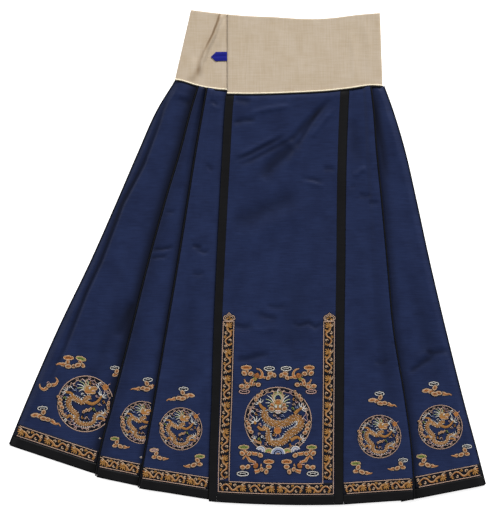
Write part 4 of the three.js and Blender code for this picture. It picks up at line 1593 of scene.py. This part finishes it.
def wave(radius, colours):
    """A hill of water: nested arcs in turn of colour."""
    hill = Motif()
    # A dark arc under the hill: painted shadow round it
    hill.line("dark", 1.6, arc(0, 0, radius + 1.6, radius + 1.6, 8, 172, 9), 0)
    for ring, colour in enumerate(colours):
        reach = radius - ring * 2.1
        if reach > 1:
            hill.line(colour, 1.15, arc(0, 0, reach, reach, 4, 176, 8), 2)
    return hill


def ring_scroll(radius, lobes, depth):
    """The roundel's frame: a pale rim, and inside it a chain of open cloud curls linked end to end."""
    frame_lines = Motif()
    # Two dark rings under the rim and the chain of curls: painted shadow
    for reach in (radius - 1.5, radius - 5.5):
        frame_lines.line("dark", 2.8, arc(0, 0, reach, reach, 0, 360, 48)[:-1], 0, True, pitch=5)
    frame_lines.line("peach", 0.8, arc(0, 0, radius, radius, 0, 360, 48)[:-1], 2, True, pitch=3)
    for i in range(lobes):
        turn = 360 / lobes * i
        angle, wide = math.radians(turn), math.pi * (radius - depth) / lobes
        inner = radius - depth
        points = [
            (turned, inner + rise)
            for turned, rise in (
                (-1.0, 2.0), (-0.75, -1.5), (-0.25, -0.5), (0.1, 2.6), (-0.2, 3.6), (-0.4, 2.4), (0.2, -1.2),
                (0.7, -1.8), (1.0, 2.0),
            )
        ]
        turned = [(angle + s * wide / inner, r) for s, r in points]
        line = [(r * math.cos(a), r * math.sin(a)) for a, r in turned]
        frame_lines.line("peach" if i % 3 else "pink", 0.56, line, 2, pitch=2.2)
    return frame_lines


FILLERS = ("peach", "pink", "gold", "peach", "white", "green", "pink", "gold", "blue")


def fill_with_curls(radius, bodies):
    """Small curls of cloud in every gap of a roundel that its dragon leaves open."""
    curls = Motif()
    taken = np.concatenate([np.column_stack([line, width]) for _, line, width, _, _ in bodies.strokes])
    count = 0
    for ring, reach in enumerate(np.arange(radius, 5, -8.2)):
        for i in range(max(1, int(2 * math.pi * reach / 8.6))):
            angle = (i + 0.5 * (ring % 2)) * 8.6 / reach
            x, y = reach * math.cos(angle), reach * math.sin(angle)
            apart = np.hypot(taken[:, 0] - x, taken[:, 1] - y) - taken[:, 2]
            if apart.min() < 2.6:
                continue
            count += 1
            colour = FILLERS[count % len(FILLERS)]
            # A dark pad under each curl: painted shadow that darkens the ground round it
            curls.line("dark", 6.0, [(x - 2.4, y), (x + 2.4, y)], 0)
            curl = spiral(x, y, 3.3, 140 * count, 300 if count % 2 else -300, 7)
            curls.line(colour, 0.68, curl, 2, pitch=1.9)
            curls.line(colour, 0.58, [(x + 2.8, y - 1.5), (x + 4.6, y - 3.4)], 2)
    return curls


def rim_cloud():
    """A small running cloud that lies along a roundel's rim."""
    part = Motif()
    part.add(sweep([(-13, -3), (-6, 1), (2, 0), (10, 3)], (2.6, 1.8), "orange"))
    for x, y, size in [(-11, -1, 3.6), (-3, 2, 3.8), (5, 1, 3.4), (11, 4, 2.8)]:
        part.add(lobe(x, y, size, 60, "orange"))
    return part


def pearl(size):
    """The flaming pearl: a coppery round with pale flames."""
    part = Motif()
    part.fill("orange", arc(0, 0, size, size, 0, 360, 13)[:-1], 2, "gold", 0.7, halo=1.8)
    for turn in (40, 140, 250, 290):
        tip = np.array([math.cos(math.radians(turn)), math.sin(math.radians(turn))])
        part.line("pink", (0.8, 0.4), [tip * (size + 0.5), tip * (size + 4) + (1.4, 0), tip * (size + 7)], 2)
    return part


def front_dragon():
    """The front panel's roundel: a dragon facing out over its coils, a pearl below and water at the foot."""
    whole = Motif()
    whole.add(ring_scroll(68, 16, 6.5))
    whole.add(limb([(-20, -16), (-34, -18), (-42, -12)]))
    whole.add(claws(1.2), -47, -4, turn=22)
    whole.add(limb([(34, 14), (40, 20), (46, 24)]))
    whole.add(claws(1.1), 47, 25, turn=-52)
    whole.add(limb([(-26, 22), (-34, 28), (-37, 34)]))
    whole.add(claws(1.0), -38, 35, turn=24)
    whole.add(limb([(26, -40), (38, -34), (46, -38)]))
    whole.add(claws(0.9), 47, -38, turn=-70)
    whole.add(limb([(-34, -46), (-42, -44), (-47, -40)], (3.0, 2.0)))
    whole.add(claws(0.8), -48, -39, turn=50)
    coil = [(-27, 20), (-27, 8), (-16, -3), (0, -7), (18, -4), (34, 6), (45, 2), (46, -10), (36, -20),
            (22, -28), (14, -40),
            (0, -46), (-16, -44), (-21, -32), (-20, -20), (-30, -13)]
    whole.add(scaled_body(coil[::-1], (6, 10, 13, 14, 14, 14, 14, 14, 13)))
    whole.add(pearl(7), -1, -20)
    whole.add(front_head(), 0, 27)
    flame = Motif()
    # A dark arc under the flame's arcs: painted shadow round them
    flame.line("dark", 3.0, arc(0, 0, 11, 13, 0, 180, 9), 0)
    for reach, colour in ((13, "green"), (10.6, "pale_gold"), (8.2, "pale_green")):
        flame.line(colour, 1.0, arc(0, 0, reach * 0.85, reach, 0, 180, 9), 2)
    flame.line("white", (1.0, 0.4), [(0, 11), (-1, 15), (1, 19)], 3)
    whole.add(flame, 0, 45)
    whole.add(rim_cloud(), -38, 50, turn=38, scale=0.9)
    whole.add(rim_cloud(), 40, 50, turn=-38, scale=0.9, mirror=True)
    whole.add(rim_cloud(), -58, -12, turn=100, scale=1.0)
    whole.add(rim_cloud(), 58, -14, turn=-100, scale=1.0, mirror=True)
    for side in (-1, 1):
        whole.line("pink", 0.6, [(side * 52, 28), (side * 57, 14), (side * 52, 6), (side * 60, -2)], 2)
        whole.line("pale_gold", 0.6, [(side * 48, 36), (side * 56, 24), (side * 60, 10)], 2)
        whole.add(wave(9, ("white", "blue", "white", "blue")), side * 36, -62, turn=side * 22)
        whole.add(wave(9, ("pale_gold", "green", "green", "gold")), side * 19, -66, turn=side * 8)
    whole.add(wave(14, ("white", "blue", "blue", "dark", "blue")), 0, -69, level=1)
    whole.add(fill_with_curls(55, whole))
    return whole


SIDE_RADIUS = 57
SIDE_COIL = [(10, 14), (2, 12), (-6, 3), (-16, 8), (-29, 13), (-35, 0), (-27, -14), (-18, -22), (-17, -36),
             (-2, -42),
             (16, -38), (20, -24), (30, -19), (39, -24)]


def side_dragon(radius):
    """A gore's roundel: a dragon in profile above its coils, reaching for a pearl on the rim."""
    whole = Motif()
    whole.add(ring_scroll(SIDE_RADIUS, 13, 6.5))
    whole.add(limb([(-2, 6), (14, 0), (26, 6), (32, 14)]))
    whole.add(claws(1.0), 33, 15, turn=-35)
    whole.add(limb([(-20, 10), (-30, 22), (-38, 24)]))
    whole.add(claws(0.9), -39, 25, turn=55)
    whole.add(limb([(-22, -30), (-32, -24), (-38, -28)]))
    whole.add(claws(0.9), -39, -28, turn=95)
    whole.add(limb([(18, -30), (34, -30), (40, -34)], (3.0, 2.0)))
    whole.add(claws(0.9), 40, -20, turn=10)
    whole.add(scaled_body(SIDE_COIL[::-1], (4, 7.2, 8.8, 10, 10.4, 10.4, 9.8, 9), 0.9))
    whole.add(side_head(), 6, 29, scale=1.15)
    whole.add(pearl(5.5), 41, 34)
    whole.add(rim_cloud(), -50, 4, turn=95, scale=1.0)
    whole.add(rim_cloud(), -46, -18, turn=120, scale=0.7)
    whole.add(rim_cloud(), 46, -6, turn=-80, scale=0.8, mirror=True)
    whole.add(rim_cloud(), 4, -14, turn=10, scale=0.7)
    for turn in (200, 235, 270, 300, 330):
        angle = math.radians(turn)
        middle = 47 * math.cos(angle), 47 * math.sin(angle)
        whole.line("pink", 0.6, arc(*middle, 7, 3.5, turn - 60, turn + 120, 6), 2)
    whole.line("white", 0.7, [(22, 40), (30, 28), (28, 22), (36, 16)], 3)
    whole.add(fill_with_curls(45, whole))
    placed = Motif()
    return placed.add(whole, scale=radius / SIDE_RADIUS)


def border_unit(length):
    """One running dragon of the borders: head and claws at one end, a waved body and hooked curls."""
    unit = Motif()
    body = [
        (-0.42, -3.5), (-0.34, 2.5), (-0.24, 5.2), (-0.14, 2.0), (-0.05, -4.4), (0.06, -5.2),
        (0.16, 0.5), (0.26, 2.4),
    ]
    body = [(share * length, y) for share, y in body]
    unit.line("gold", (1.1, 2.3), body, 2)
    unit.line("pale_gold", 0.5, [(x, y + 1.1) for x, y in body], 3, taper=0.4)
    unit.line("copper", 0.5, [(x, y - 1.1) for x, y in body], 3, taper=0.4)
    curls = [
        (-0.44, 4.6, 3.2, 250, 300, "pale_gold"), (-0.34, -5.6, 3.0, 90, 300, "gold"),
        (-0.22, -4.8, 3.0, 90, -300, "pale_gold"), (-0.08, 5.2, 3.0, 180, -300, "gold"),
        (0.06, 3.6, 3.2, 0, 300, "pale_gold"), (0.17, -6.2, 2.6, 90, 300, "gold"),
    ]
    for share, y, size, start, turned, colour in curls:
        unit.line(colour, 1.05, spiral(share * length, y, size, start, turned, 7), 2)
    head = 0.34 * length
    unit.blob("gold", head, 2.6, 4.6, 3.0, 0, 3)
    unit.line("pale_gold", 0.5, [(head - 3, 4.4), (head, 5.2), (head + 3.4, 4.2)], 4)
    unit.line("copper", 1.0, [(head + 3, 2.0), (head + 6.4, 3.6)], 3)
    unit.line("pale_gold", 0.9, [(head - 2, 5), (head + 1, 7.6), (head + 5, 8.0)], 3)
    unit.line("gold", 1.0, [(head + 2, -0.5), (head + 7, -1.8)], 3)
    unit.line("white", 0.7, [(head + 0.5, 3.0), (head + 1.6, 3.0)], 4)
    for tip_x, tip_y in ((5.5, -7.4), (1.4, -8.0), (-2.6, -7.2)):
        horn = [(head - 1.5, -1.5), (head + tip_x - 1.4, (tip_y - 1.5) / 2), (head + tip_x, tip_y)]
        unit.line("gold", (1.7, 0.7), horn, 3)
    return unit


BORDER_PERIOD = 52
BORDER_EDGE = 10.6


def border_run(length, flipped=False, two_ways=False, below=(0, 0), above=(0, 0)):
    """A border along x: whole dragons, and a pale line along each edge that below and above lengthen."""
    run = Motif()
    count = max(1, int(round(length / BORDER_PERIOD)))
    period = length / count
    for i in range(count):
        backwards = flipped if not two_ways else i >= count / 2
        run.add(border_unit(period), (i + 0.5) * period, 0, mirror=backwards)
    for y, (start, end) in ((-BORDER_EDGE, below), (BORDER_EDGE, above)):
        run.line("peach", 0.72, [(-start, y), (length / 2, y), (length + end, y)], 2, pitch=6)
    return run


def ruyi_cap():
    """The pointed head of a border's arm, drawn as a double line round three small curls."""
    cap = Motif()
    half = [(0, 16.5), (3.5, 12.5), (8, 11), (11, 7), (10.5, 3), (7, 2), (6.5, -0.5)]
    outline = half + [(-x, y) for x, y in half[:0:-1]]
    # A dark line wider than the double line is painted shadow round it; the dark pad inside is the cap's own
    # dark ground
    cap.line("dark", 2.2, outline, 0, True)
    cap.blob("dark", 0, 5.5, 9, 6, 0, 1)
    cap.line("peach", 0.7, outline, 2, True, pitch=2)
    cap.line("pale_gold", 0.6, [(x * 0.72, y * 0.72 + 1.2) for x, y in outline], 2, True, pitch=2)
    for x, y, start in ((-3.6, 4.4, 0), (3.6, 4.4, 180), (0, 8.4, 270)):
        cap.line("gold", 0.9, spiral(x, y, 2.4, start, 300, 6), 3)
    return cap


def clip(line, width, low, high):
    """The stretches of a stroke that lie between two limits of x."""
    inside = (line[:, 0] >= low) & (line[:, 0] <= high)
    edges = np.flatnonzero(np.diff(np.concatenate(([0], inside.astype(int), [0]))))
    return [(line[a:b], width[a:b]) for a, b in zip(edges[::2], edges[1::2]) if b - a > 1]


def top_surface(pieces):
    """The mid-surface of sheets as one tree to drop threads onto."""
    corners, faces = [], []
    for piece in pieces:
        start = len(corners)
        corners += [vertex.co.copy() for vertex in piece.data.vertices]
        faces += [[start + i for i in face.vertices] for face in piece.data.polygons]
    return BVHTree.FromPolygons(corners, faces)


# Heights at which the sides of a patch are read, to keep threads inside them
SIDE_SAMPLES = np.linspace(-520, 360, 45)


def embroider(name, body_name, motif, on, margins):
    """Lays a motif's strokes on a piece of cloth as thread, and joins them in one mesh."""
    patch = PATCHES[body_name]
    route = bpy.data.curves.new(name, "CURVE")
    route.dimensions = "3D"
    route.bevel_depth = MM
    route.bevel_resolution = 0
    route.use_fill_caps = True
    for look in THREAD_LOOKS:
        route.materials.append(look)
    left = np.array([line_at(patch.left, y) for y in SIDE_SAMPLES]) + margins[0]
    right = np.array([line_at(patch.right, y) for y in SIDE_SAMPLES]) - margins[1]
    for colour, line, width, level, closed in motif.strokes:
        low, high = np.interp(line[:, 1], SIDE_SAMPLES, left), np.interp(line[:, 1], SIDE_SAMPLES, right)
        whole = bool(((line[:, 0] >= low) & (line[:, 0] <= high)).all())
        for part, part_width in [(line, width)] if whole else clip(line, width, low, high):
            if closed and whole:
                part, part_width = part[:-1], part_width[:-1]
            spline = route.splines.new("POLY")
            spline.points.add(len(part) - 1)
            flat = np.empty((len(part), 4))
            flat[:, :2] = part * MM
            flat[:, 2] = level * LEVEL_CODE * MM
            flat[:, 3] = 1
            spline.points.foreach_set("co", flat.ravel())
            spline.points.foreach_set("radius", part_width)
            spline.use_cyclic_u = closed and whole
            spline.material_index = THREAD_ORDER.index(colour)
    shape = bpy.data.objects.new(name + "_strokes", route)
    bpy.context.scene.collection.objects.link(shape)
    mesh = bpy.data.meshes.new_from_object(shape.evaluated_get(bpy.context.evaluated_depsgraph_get()))
    bpy.data.objects.remove(shape)
    bpy.data.curves.remove(route)
    mesh.name = name
    drop_threads(mesh, top_surface(on))
    mesh.polygons.foreach_set("use_smooth", [False] * len(mesh.polygons))
    piece = add_object(name, mesh, [])
    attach(piece, "root")


DROP_FROM = 0.5


def drop_threads(mesh, surface):
    """Flattens threads and lays them on the cloth below them."""
    places = np.empty(len(mesh.vertices) * 3)
    mesh.vertices.foreach_get("co", places)
    places = places.reshape(-1, 3)
    level = np.rint(places[:, 2] / (LEVEL_CODE * MM))
    height = places[:, 2] / MM - level * LEVEL_CODE
    rise = THREAD_RISE * np.tanh(height / THREAD_FLAT) + level * LEVEL_STEP
    last = 0.0
    for i, (x, y, _) in enumerate(places):
        hit = surface.ray_cast(Vector((x, y, DROP_FROM)), Vector((0, 0, -1)))[0]
        last = hit.z if hit else last
        places[i, 2] = last + (rise[i] + SHELL / 2) * MM
    mesh.vertices.foreach_set("co", places.ravel())
    mesh.update()


def low_cluster():
    """The lower corner group: a green cap, a curled bat wing, and a cloud whose tail rounds off below."""
    whole = Motif()
    whole.add(cloud_cap("green", "pale_gold"), -25, 26)
    whole.add(sweep([(-24, 21), (-22, 15), (-14, 15), (-4, 13), (6, 12)], (3.8, 3.4)))
    for x, y, size, start in [
        (-28, 14, 4.2, 150), (-14, 13, 3.8, 30), (8, 10, 4.0, -30), (-27, -14, 4.0, 170),
        (-17, -13, 3.8, 40),
    ]:
        whole.add(lobe(x, y, size, start))
    whole.add(sweep([(-27, 2), (-21, 9), (-16, 4), (-12, -2)], (1.2, 3.4)))
    whole.add(sweep([(-14, -1), (-6, -3), (2, -8)], (3.0, 2.2)))
    # A dark line under the pink one: painted shadow round it
    whole.line("dark", 2.0, [(-3, -1), (-2, -7), (-11, -9)], 0)
    whole.line("pink", 0.9, [(-3, -1), (-2, -7), (-11, -9)], 3)
    whole.add(lobe(-1, -11, 4.0, 60, "copper"))
    whole.add(sweep([(10, -7), (9, -15), (5, -21), (-3, -23)], (1.0, 4.4)))
    whole.add(cloud_cap("orange", "pale_gold"), 25, -3)
    whole.add(sweep([(25, -8), (24, -13), (20, -20), (12, -18)], (4.0, 2.6)))
    for x, y, size, start in [(25, -13, 4.2, 0), (20, -23, 3.6, 250), (11, -18, 3.4, 120)]:
        whole.add(lobe(x, y, size, start))
    whole.add(cloud_cap("dark", "white"), -27, -27, scale=1.1)
    return whole


def on_hem(name, x_from, x_to, **ends):
    """A border along the hem of a piece, bent to the ribbon that carries it."""
    patch = PATCHES[name]
    row = Row(patch, patch.share_at(BORDER_RISE))
    run = border_run(x_to - x_from, **ends)
    bent = Motif()
    for colour, line, width, level, closed in run.strokes:
        x = line[:, 0] + x_from
        bent.strokes.append((colour, np.stack([x, row.y_at(x) + line[:, 1]], axis=1), width, level, closed))
    return bent


def on_arm(line_name, offset, y_from, y_to, y_corner, mirror=False):
    """A border that climbs beside a strip of the front panel, heads up, its outer line down to the corner."""
    foot = y_from - y_corner
    run = border_run(y_to - y_from, above=(foot, 0), below=(foot - 2 * BORDER_EDGE, 0))
    bent = Motif()
    for colour, line, width, level, closed in run.strokes:
        y = line[:, 0] + y_from
        across = line[:, 1] if mirror else -line[:, 1]
        x = read_curve(LINES, "y", line_name, y) + offset + across
        bent.strokes.append((colour, np.stack([x, y], axis=1), width, level, closed))
    ends = line_at(line_name, y_to) + offset + np.array([-BORDER_EDGE, BORDER_EDGE])
    return bent.line("peach", 0.72, [(x, y_to) for x in ends], 2)


# The border and the two edges of its ribbon above the hem, and the arms' ribbons beside the panel's two sides
BORDER_RISE = 32.2
RIBBON_RISE = (44.4, 20.4)
ARM_LEFT, ARM_RIGHT = (17.0, 41.5), (-42.5, -18.6)
ARM_FOOT_Y, ARM_HEAD_Y = -446, -127.5
RIBBON_ROWS = 8
PANEL_RIBBON_COLUMNS = 90
GORE_RIBBON_COLUMNS = 60
ARM_ROWS = 90
ARM_COLUMNS = 8
# How much further than the threads a gore's ribbon runs at its left and right, and the least room it leaves
RIBBON_FURTHER = (1.4, 2.2)
RIBBON_ROOM = 0.6
PANEL_MIDDLE = 60.9

# Where each motif lies: the motif, its x and y, and its turn, scale and mirror
EMBROIDERED = {
    "gore_left_1": [
        (side_dragon(55.6), -323.5, -292.6, {}),
        (twin_cloud(), -350, -210, {"turn": -4}),
        (bat(), -396.5, -254, {"turn": 18, "scale": 0.9}),
        (cloud("dark", "white", 24), -411, -315, {"scale": 0.95}),
        (small_cloud("dark", "white", tail=False), -260, -231, {"scale": 0.85}),
        (puff(0, 0, 2.6, 1.6, 0, "white"), -293.5, -361.5, {}),
    ],
    "gore_left_2": [
        (side_dragon(42), -210.7, -329.6, {}),
        (cloud("dark", "white", 8), -197, -257, {"mirror": True, "scale": 0.9}),
        (small_cloud("green", "pale_gold"), -259.5, -372, {"scale": 0.85}),
        (puff(0, 0, 2.6, 1.8, 0, "white"), -212, -399.5, {}),
    ],
    "gore_left_3": [
        (side_dragon(42), -132.7, -342.6, {}),
        (cloud("dark", "white", 12), -125.5, -275.5, {"mirror": True, "scale": 0.9}),
        (small_cloud("pink", "pale_gold"), -181, -395, {"scale": 0.85}),
        (small_cloud("green", "pale_gold"), -100.5, -409, {"mirror": True, "scale": 0.95}),
    ],
    "front_panel": [
        (front_dragon(), 61.5, -325.8, {"scale": 0.978}),
        (cluster(), 20, -244, {}),
        (cluster(), 2 * PANEL_MIDDLE - 20, -244, {"mirror": True}),
        (low_cluster(), 18, -405, {}),
        (low_cluster(), 2 * PANEL_MIDDLE - 18, -405, {"mirror": True}),
        (ruyi_cap(), -36.1, -127.2, {}),
        (ruyi_cap(), 164.4, -127.2, {}),
    ],
    "gore_right_1": [
        (side_dragon(42.6), 264.1, -358, {}),
        (cloud("dark", "white", 15), 262.5, -285, {"scale": 0.9}),
        (small_cloud("green", "pale_gold"), 222.5, -423, {"scale": 0.95}),
        (small_cloud("dark", "white"), 306, -415.5, {"mirror": True, "scale": 0.88}),
    ],
    "gore_right_2": [
        (side_dragon(43.8), 385.9, -339, {}),
        (cloud("dark", "white", 10), 371, -266, {"scale": 0.95}),
        (small_cloud("green", "pale_gold"), 354, -409, {"scale": 0.95}),
        (small_cloud("dark", "white"), 434, -388.5, {"mirror": True, "scale": 0.9}),
    ],
}

# Room kept clear of thread at the left and right of each piece
MARGINS = {
    "gore_left_1": (4.5, 2.6),
    "gore_left_2": (4.2, 2.6),
    "gore_left_3": (4.2, 1.2),
    "front_panel": (17.2, 18.6),
    "gore_right_1": (1.2, 4.2),
    "gore_right_2": (2.6, 4.5),
}


def arm_limits(side, near, far):
    """The two sides of an arm's ribbon, at distances from the panel's left or right."""
    def limits(row):
        edge = row.x_left if side == "left" else row.x_right
        return edge + near, edge + far

    return limits


def foot_limits(row):
    """The two ends of the ribbon along the panel's foot."""
    return row.x_left + ARM_LEFT[0], row.x_right + ARM_RIGHT[1]


def panel_trim(name, row, clear):
    """The front panel's ribbons and borders: one along the foot and one up each side."""
    patch = PATCHES[name]
    span = [patch.share_at(rise) for rise in RIBBON_RISE]
    ribbons = [add_ribbon(name, name, span, RIBBON_ROWS, foot_limits, PANEL_RIBBON_COLUMNS)]
    borders = Motif()
    climb = [(patch.top_left - y) / patch.length for y in (ARM_HEAD_Y, ARM_FOOT_Y)]
    for side, line_name, (near, far) in (("left", "panelLeft", ARM_LEFT), ("right", "panelRight", ARM_RIGHT)):
        limits = arm_limits(side, near, far)
        ribbons.append(add_ribbon("arm_" + side, name, climb, ARM_ROWS, limits, ARM_COLUMNS))
        foot = row.x_left + near if side == "left" else row.x_right + far
        corner = float(row.y_at(np.array([foot]))[0]) - BORDER_EDGE
        arm = on_arm(line_name, (near + far) / 2, ARM_FOOT_Y, ARM_HEAD_Y, corner, mirror=side == "right")
        borders.strokes += arm.strokes
    inset = -2 * BORDER_EDGE
    ends = (row.x_left + ARM_LEFT[0] + 2, row.x_right + ARM_RIGHT[1] - 2)
    borders.strokes += on_hem(name, *ends, two_ways=True, above=(inset, inset)).strokes
    return ribbons, borders


def gore_trim(name, row, clear):
    """A gore's ribbon and border along its hem."""
    span = [PATCHES[name].share_at(rise) for rise in RIBBON_RISE]
    further = [room - more for room, more in zip(clear, RIBBON_FURTHER)]

    def limits(row):
        return row.x_left + further[0], row.x_right - max(further[1], RIBBON_ROOM)

    ribbons = [add_ribbon(name, name, span, RIBBON_ROWS, limits, GORE_RIBBON_COLUMNS)]
    ends = (row.x_left + clear[0], row.x_right - clear[1])
    return ribbons, on_hem(name, *ends, flipped=name.startswith("gore_left"))


for name, clear in MARGINS.items():
    trim = panel_trim if name == "front_panel" else gore_trim
    patch = PATCHES[name]
    ribbons, borders = trim(name, Row(patch, patch.share_at(BORDER_RISE)), clear)
    whole = Motif()
    for motif, x, y, settings in EMBROIDERED[name]:
        whole.add(motif, x, y, **settings)
    whole.add(borders)
    embroider("embroidery_" + name, name, whole, [BODIES[name]] + ribbons, clear)


# Stage, light and camera

# The photo's height on the ground, its middle in the part's frame and the camera's distance, in metres
VIEW_HEIGHT = 1.024
VIEW_MIDDLE = (-0.0025, 0.003)
CAMERA_DISTANCE = 5.0
# The camera's sensor, in millimetres
SENSOR = 36
FLOOR_GLOW = 0.7
WORLD_STRENGTH = 0.35


def add_stage():
    """The white floor that the skirt lies on."""
    plane = bmesh.new()
    bmesh.ops.create_grid(plane, x_segments=1, y_segments=1, size=4)
    mesh = bpy.data.meshes.new("floor")
    plane.to_mesh(mesh)
    plane.free()
    material, _, shader = start_material("matt white paint")
    shader.inputs["Base Color"].default_value = linear("#f2f2f2")
    shader.inputs["Roughness"].default_value = 0.95
    shader.inputs["Emission Color"].default_value = linear("#ffffff")
    shader.inputs["Emission Strength"].default_value = FLOOR_GLOW
    add_object("floor", mesh, [material])


def add_light(name, place, strength, spread):
    """A sun that shines from a place towards the middle, its edge softened by a spread in radians."""
    light = bpy.data.lights.new(name, "SUN")
    light.energy = strength
    light.angle = spread
    lamp = bpy.data.objects.new(name, light)
    lamp.location = place
    lamp.rotation_euler = (-Vector(place)).to_track_quat("-Z", "Y").to_euler()
    bpy.context.scene.collection.objects.link(lamp)


def add_camera():
    """The camera straight above the skirt, framed as the photo is."""
    data = bpy.data.cameras.new("camera")
    data.sensor_fit = "VERTICAL"
    data.sensor_height = SENSOR
    data.lens = SENSOR * CAMERA_DISTANCE / VIEW_HEIGHT
    data.clip_end = 50
    camera = bpy.data.objects.new("camera", data)
    camera.location = (*VIEW_MIDDLE, CAMERA_DISTANCE + FRONT_BASE * MM)
    bpy.context.scene.collection.objects.link(camera)
    bpy.context.scene.camera = camera


add_stage()
add_light("key", (1.1, 2.0, 1.4), 3.7, 0.15)
add_light("side", (-1.8, 1.0, 1.5), 1.05, 0.4)
add_camera()

world = bpy.data.worlds.new("studio")
world.use_nodes = True
world.node_tree.nodes["Background"].inputs["Color"].default_value = linear("#ffffff")
world.node_tree.nodes["Background"].inputs["Strength"].default_value = WORLD_STRENGTH
bpy.context.scene.world = world
bpy.context.scene.view_settings.view_transform = "Standard"
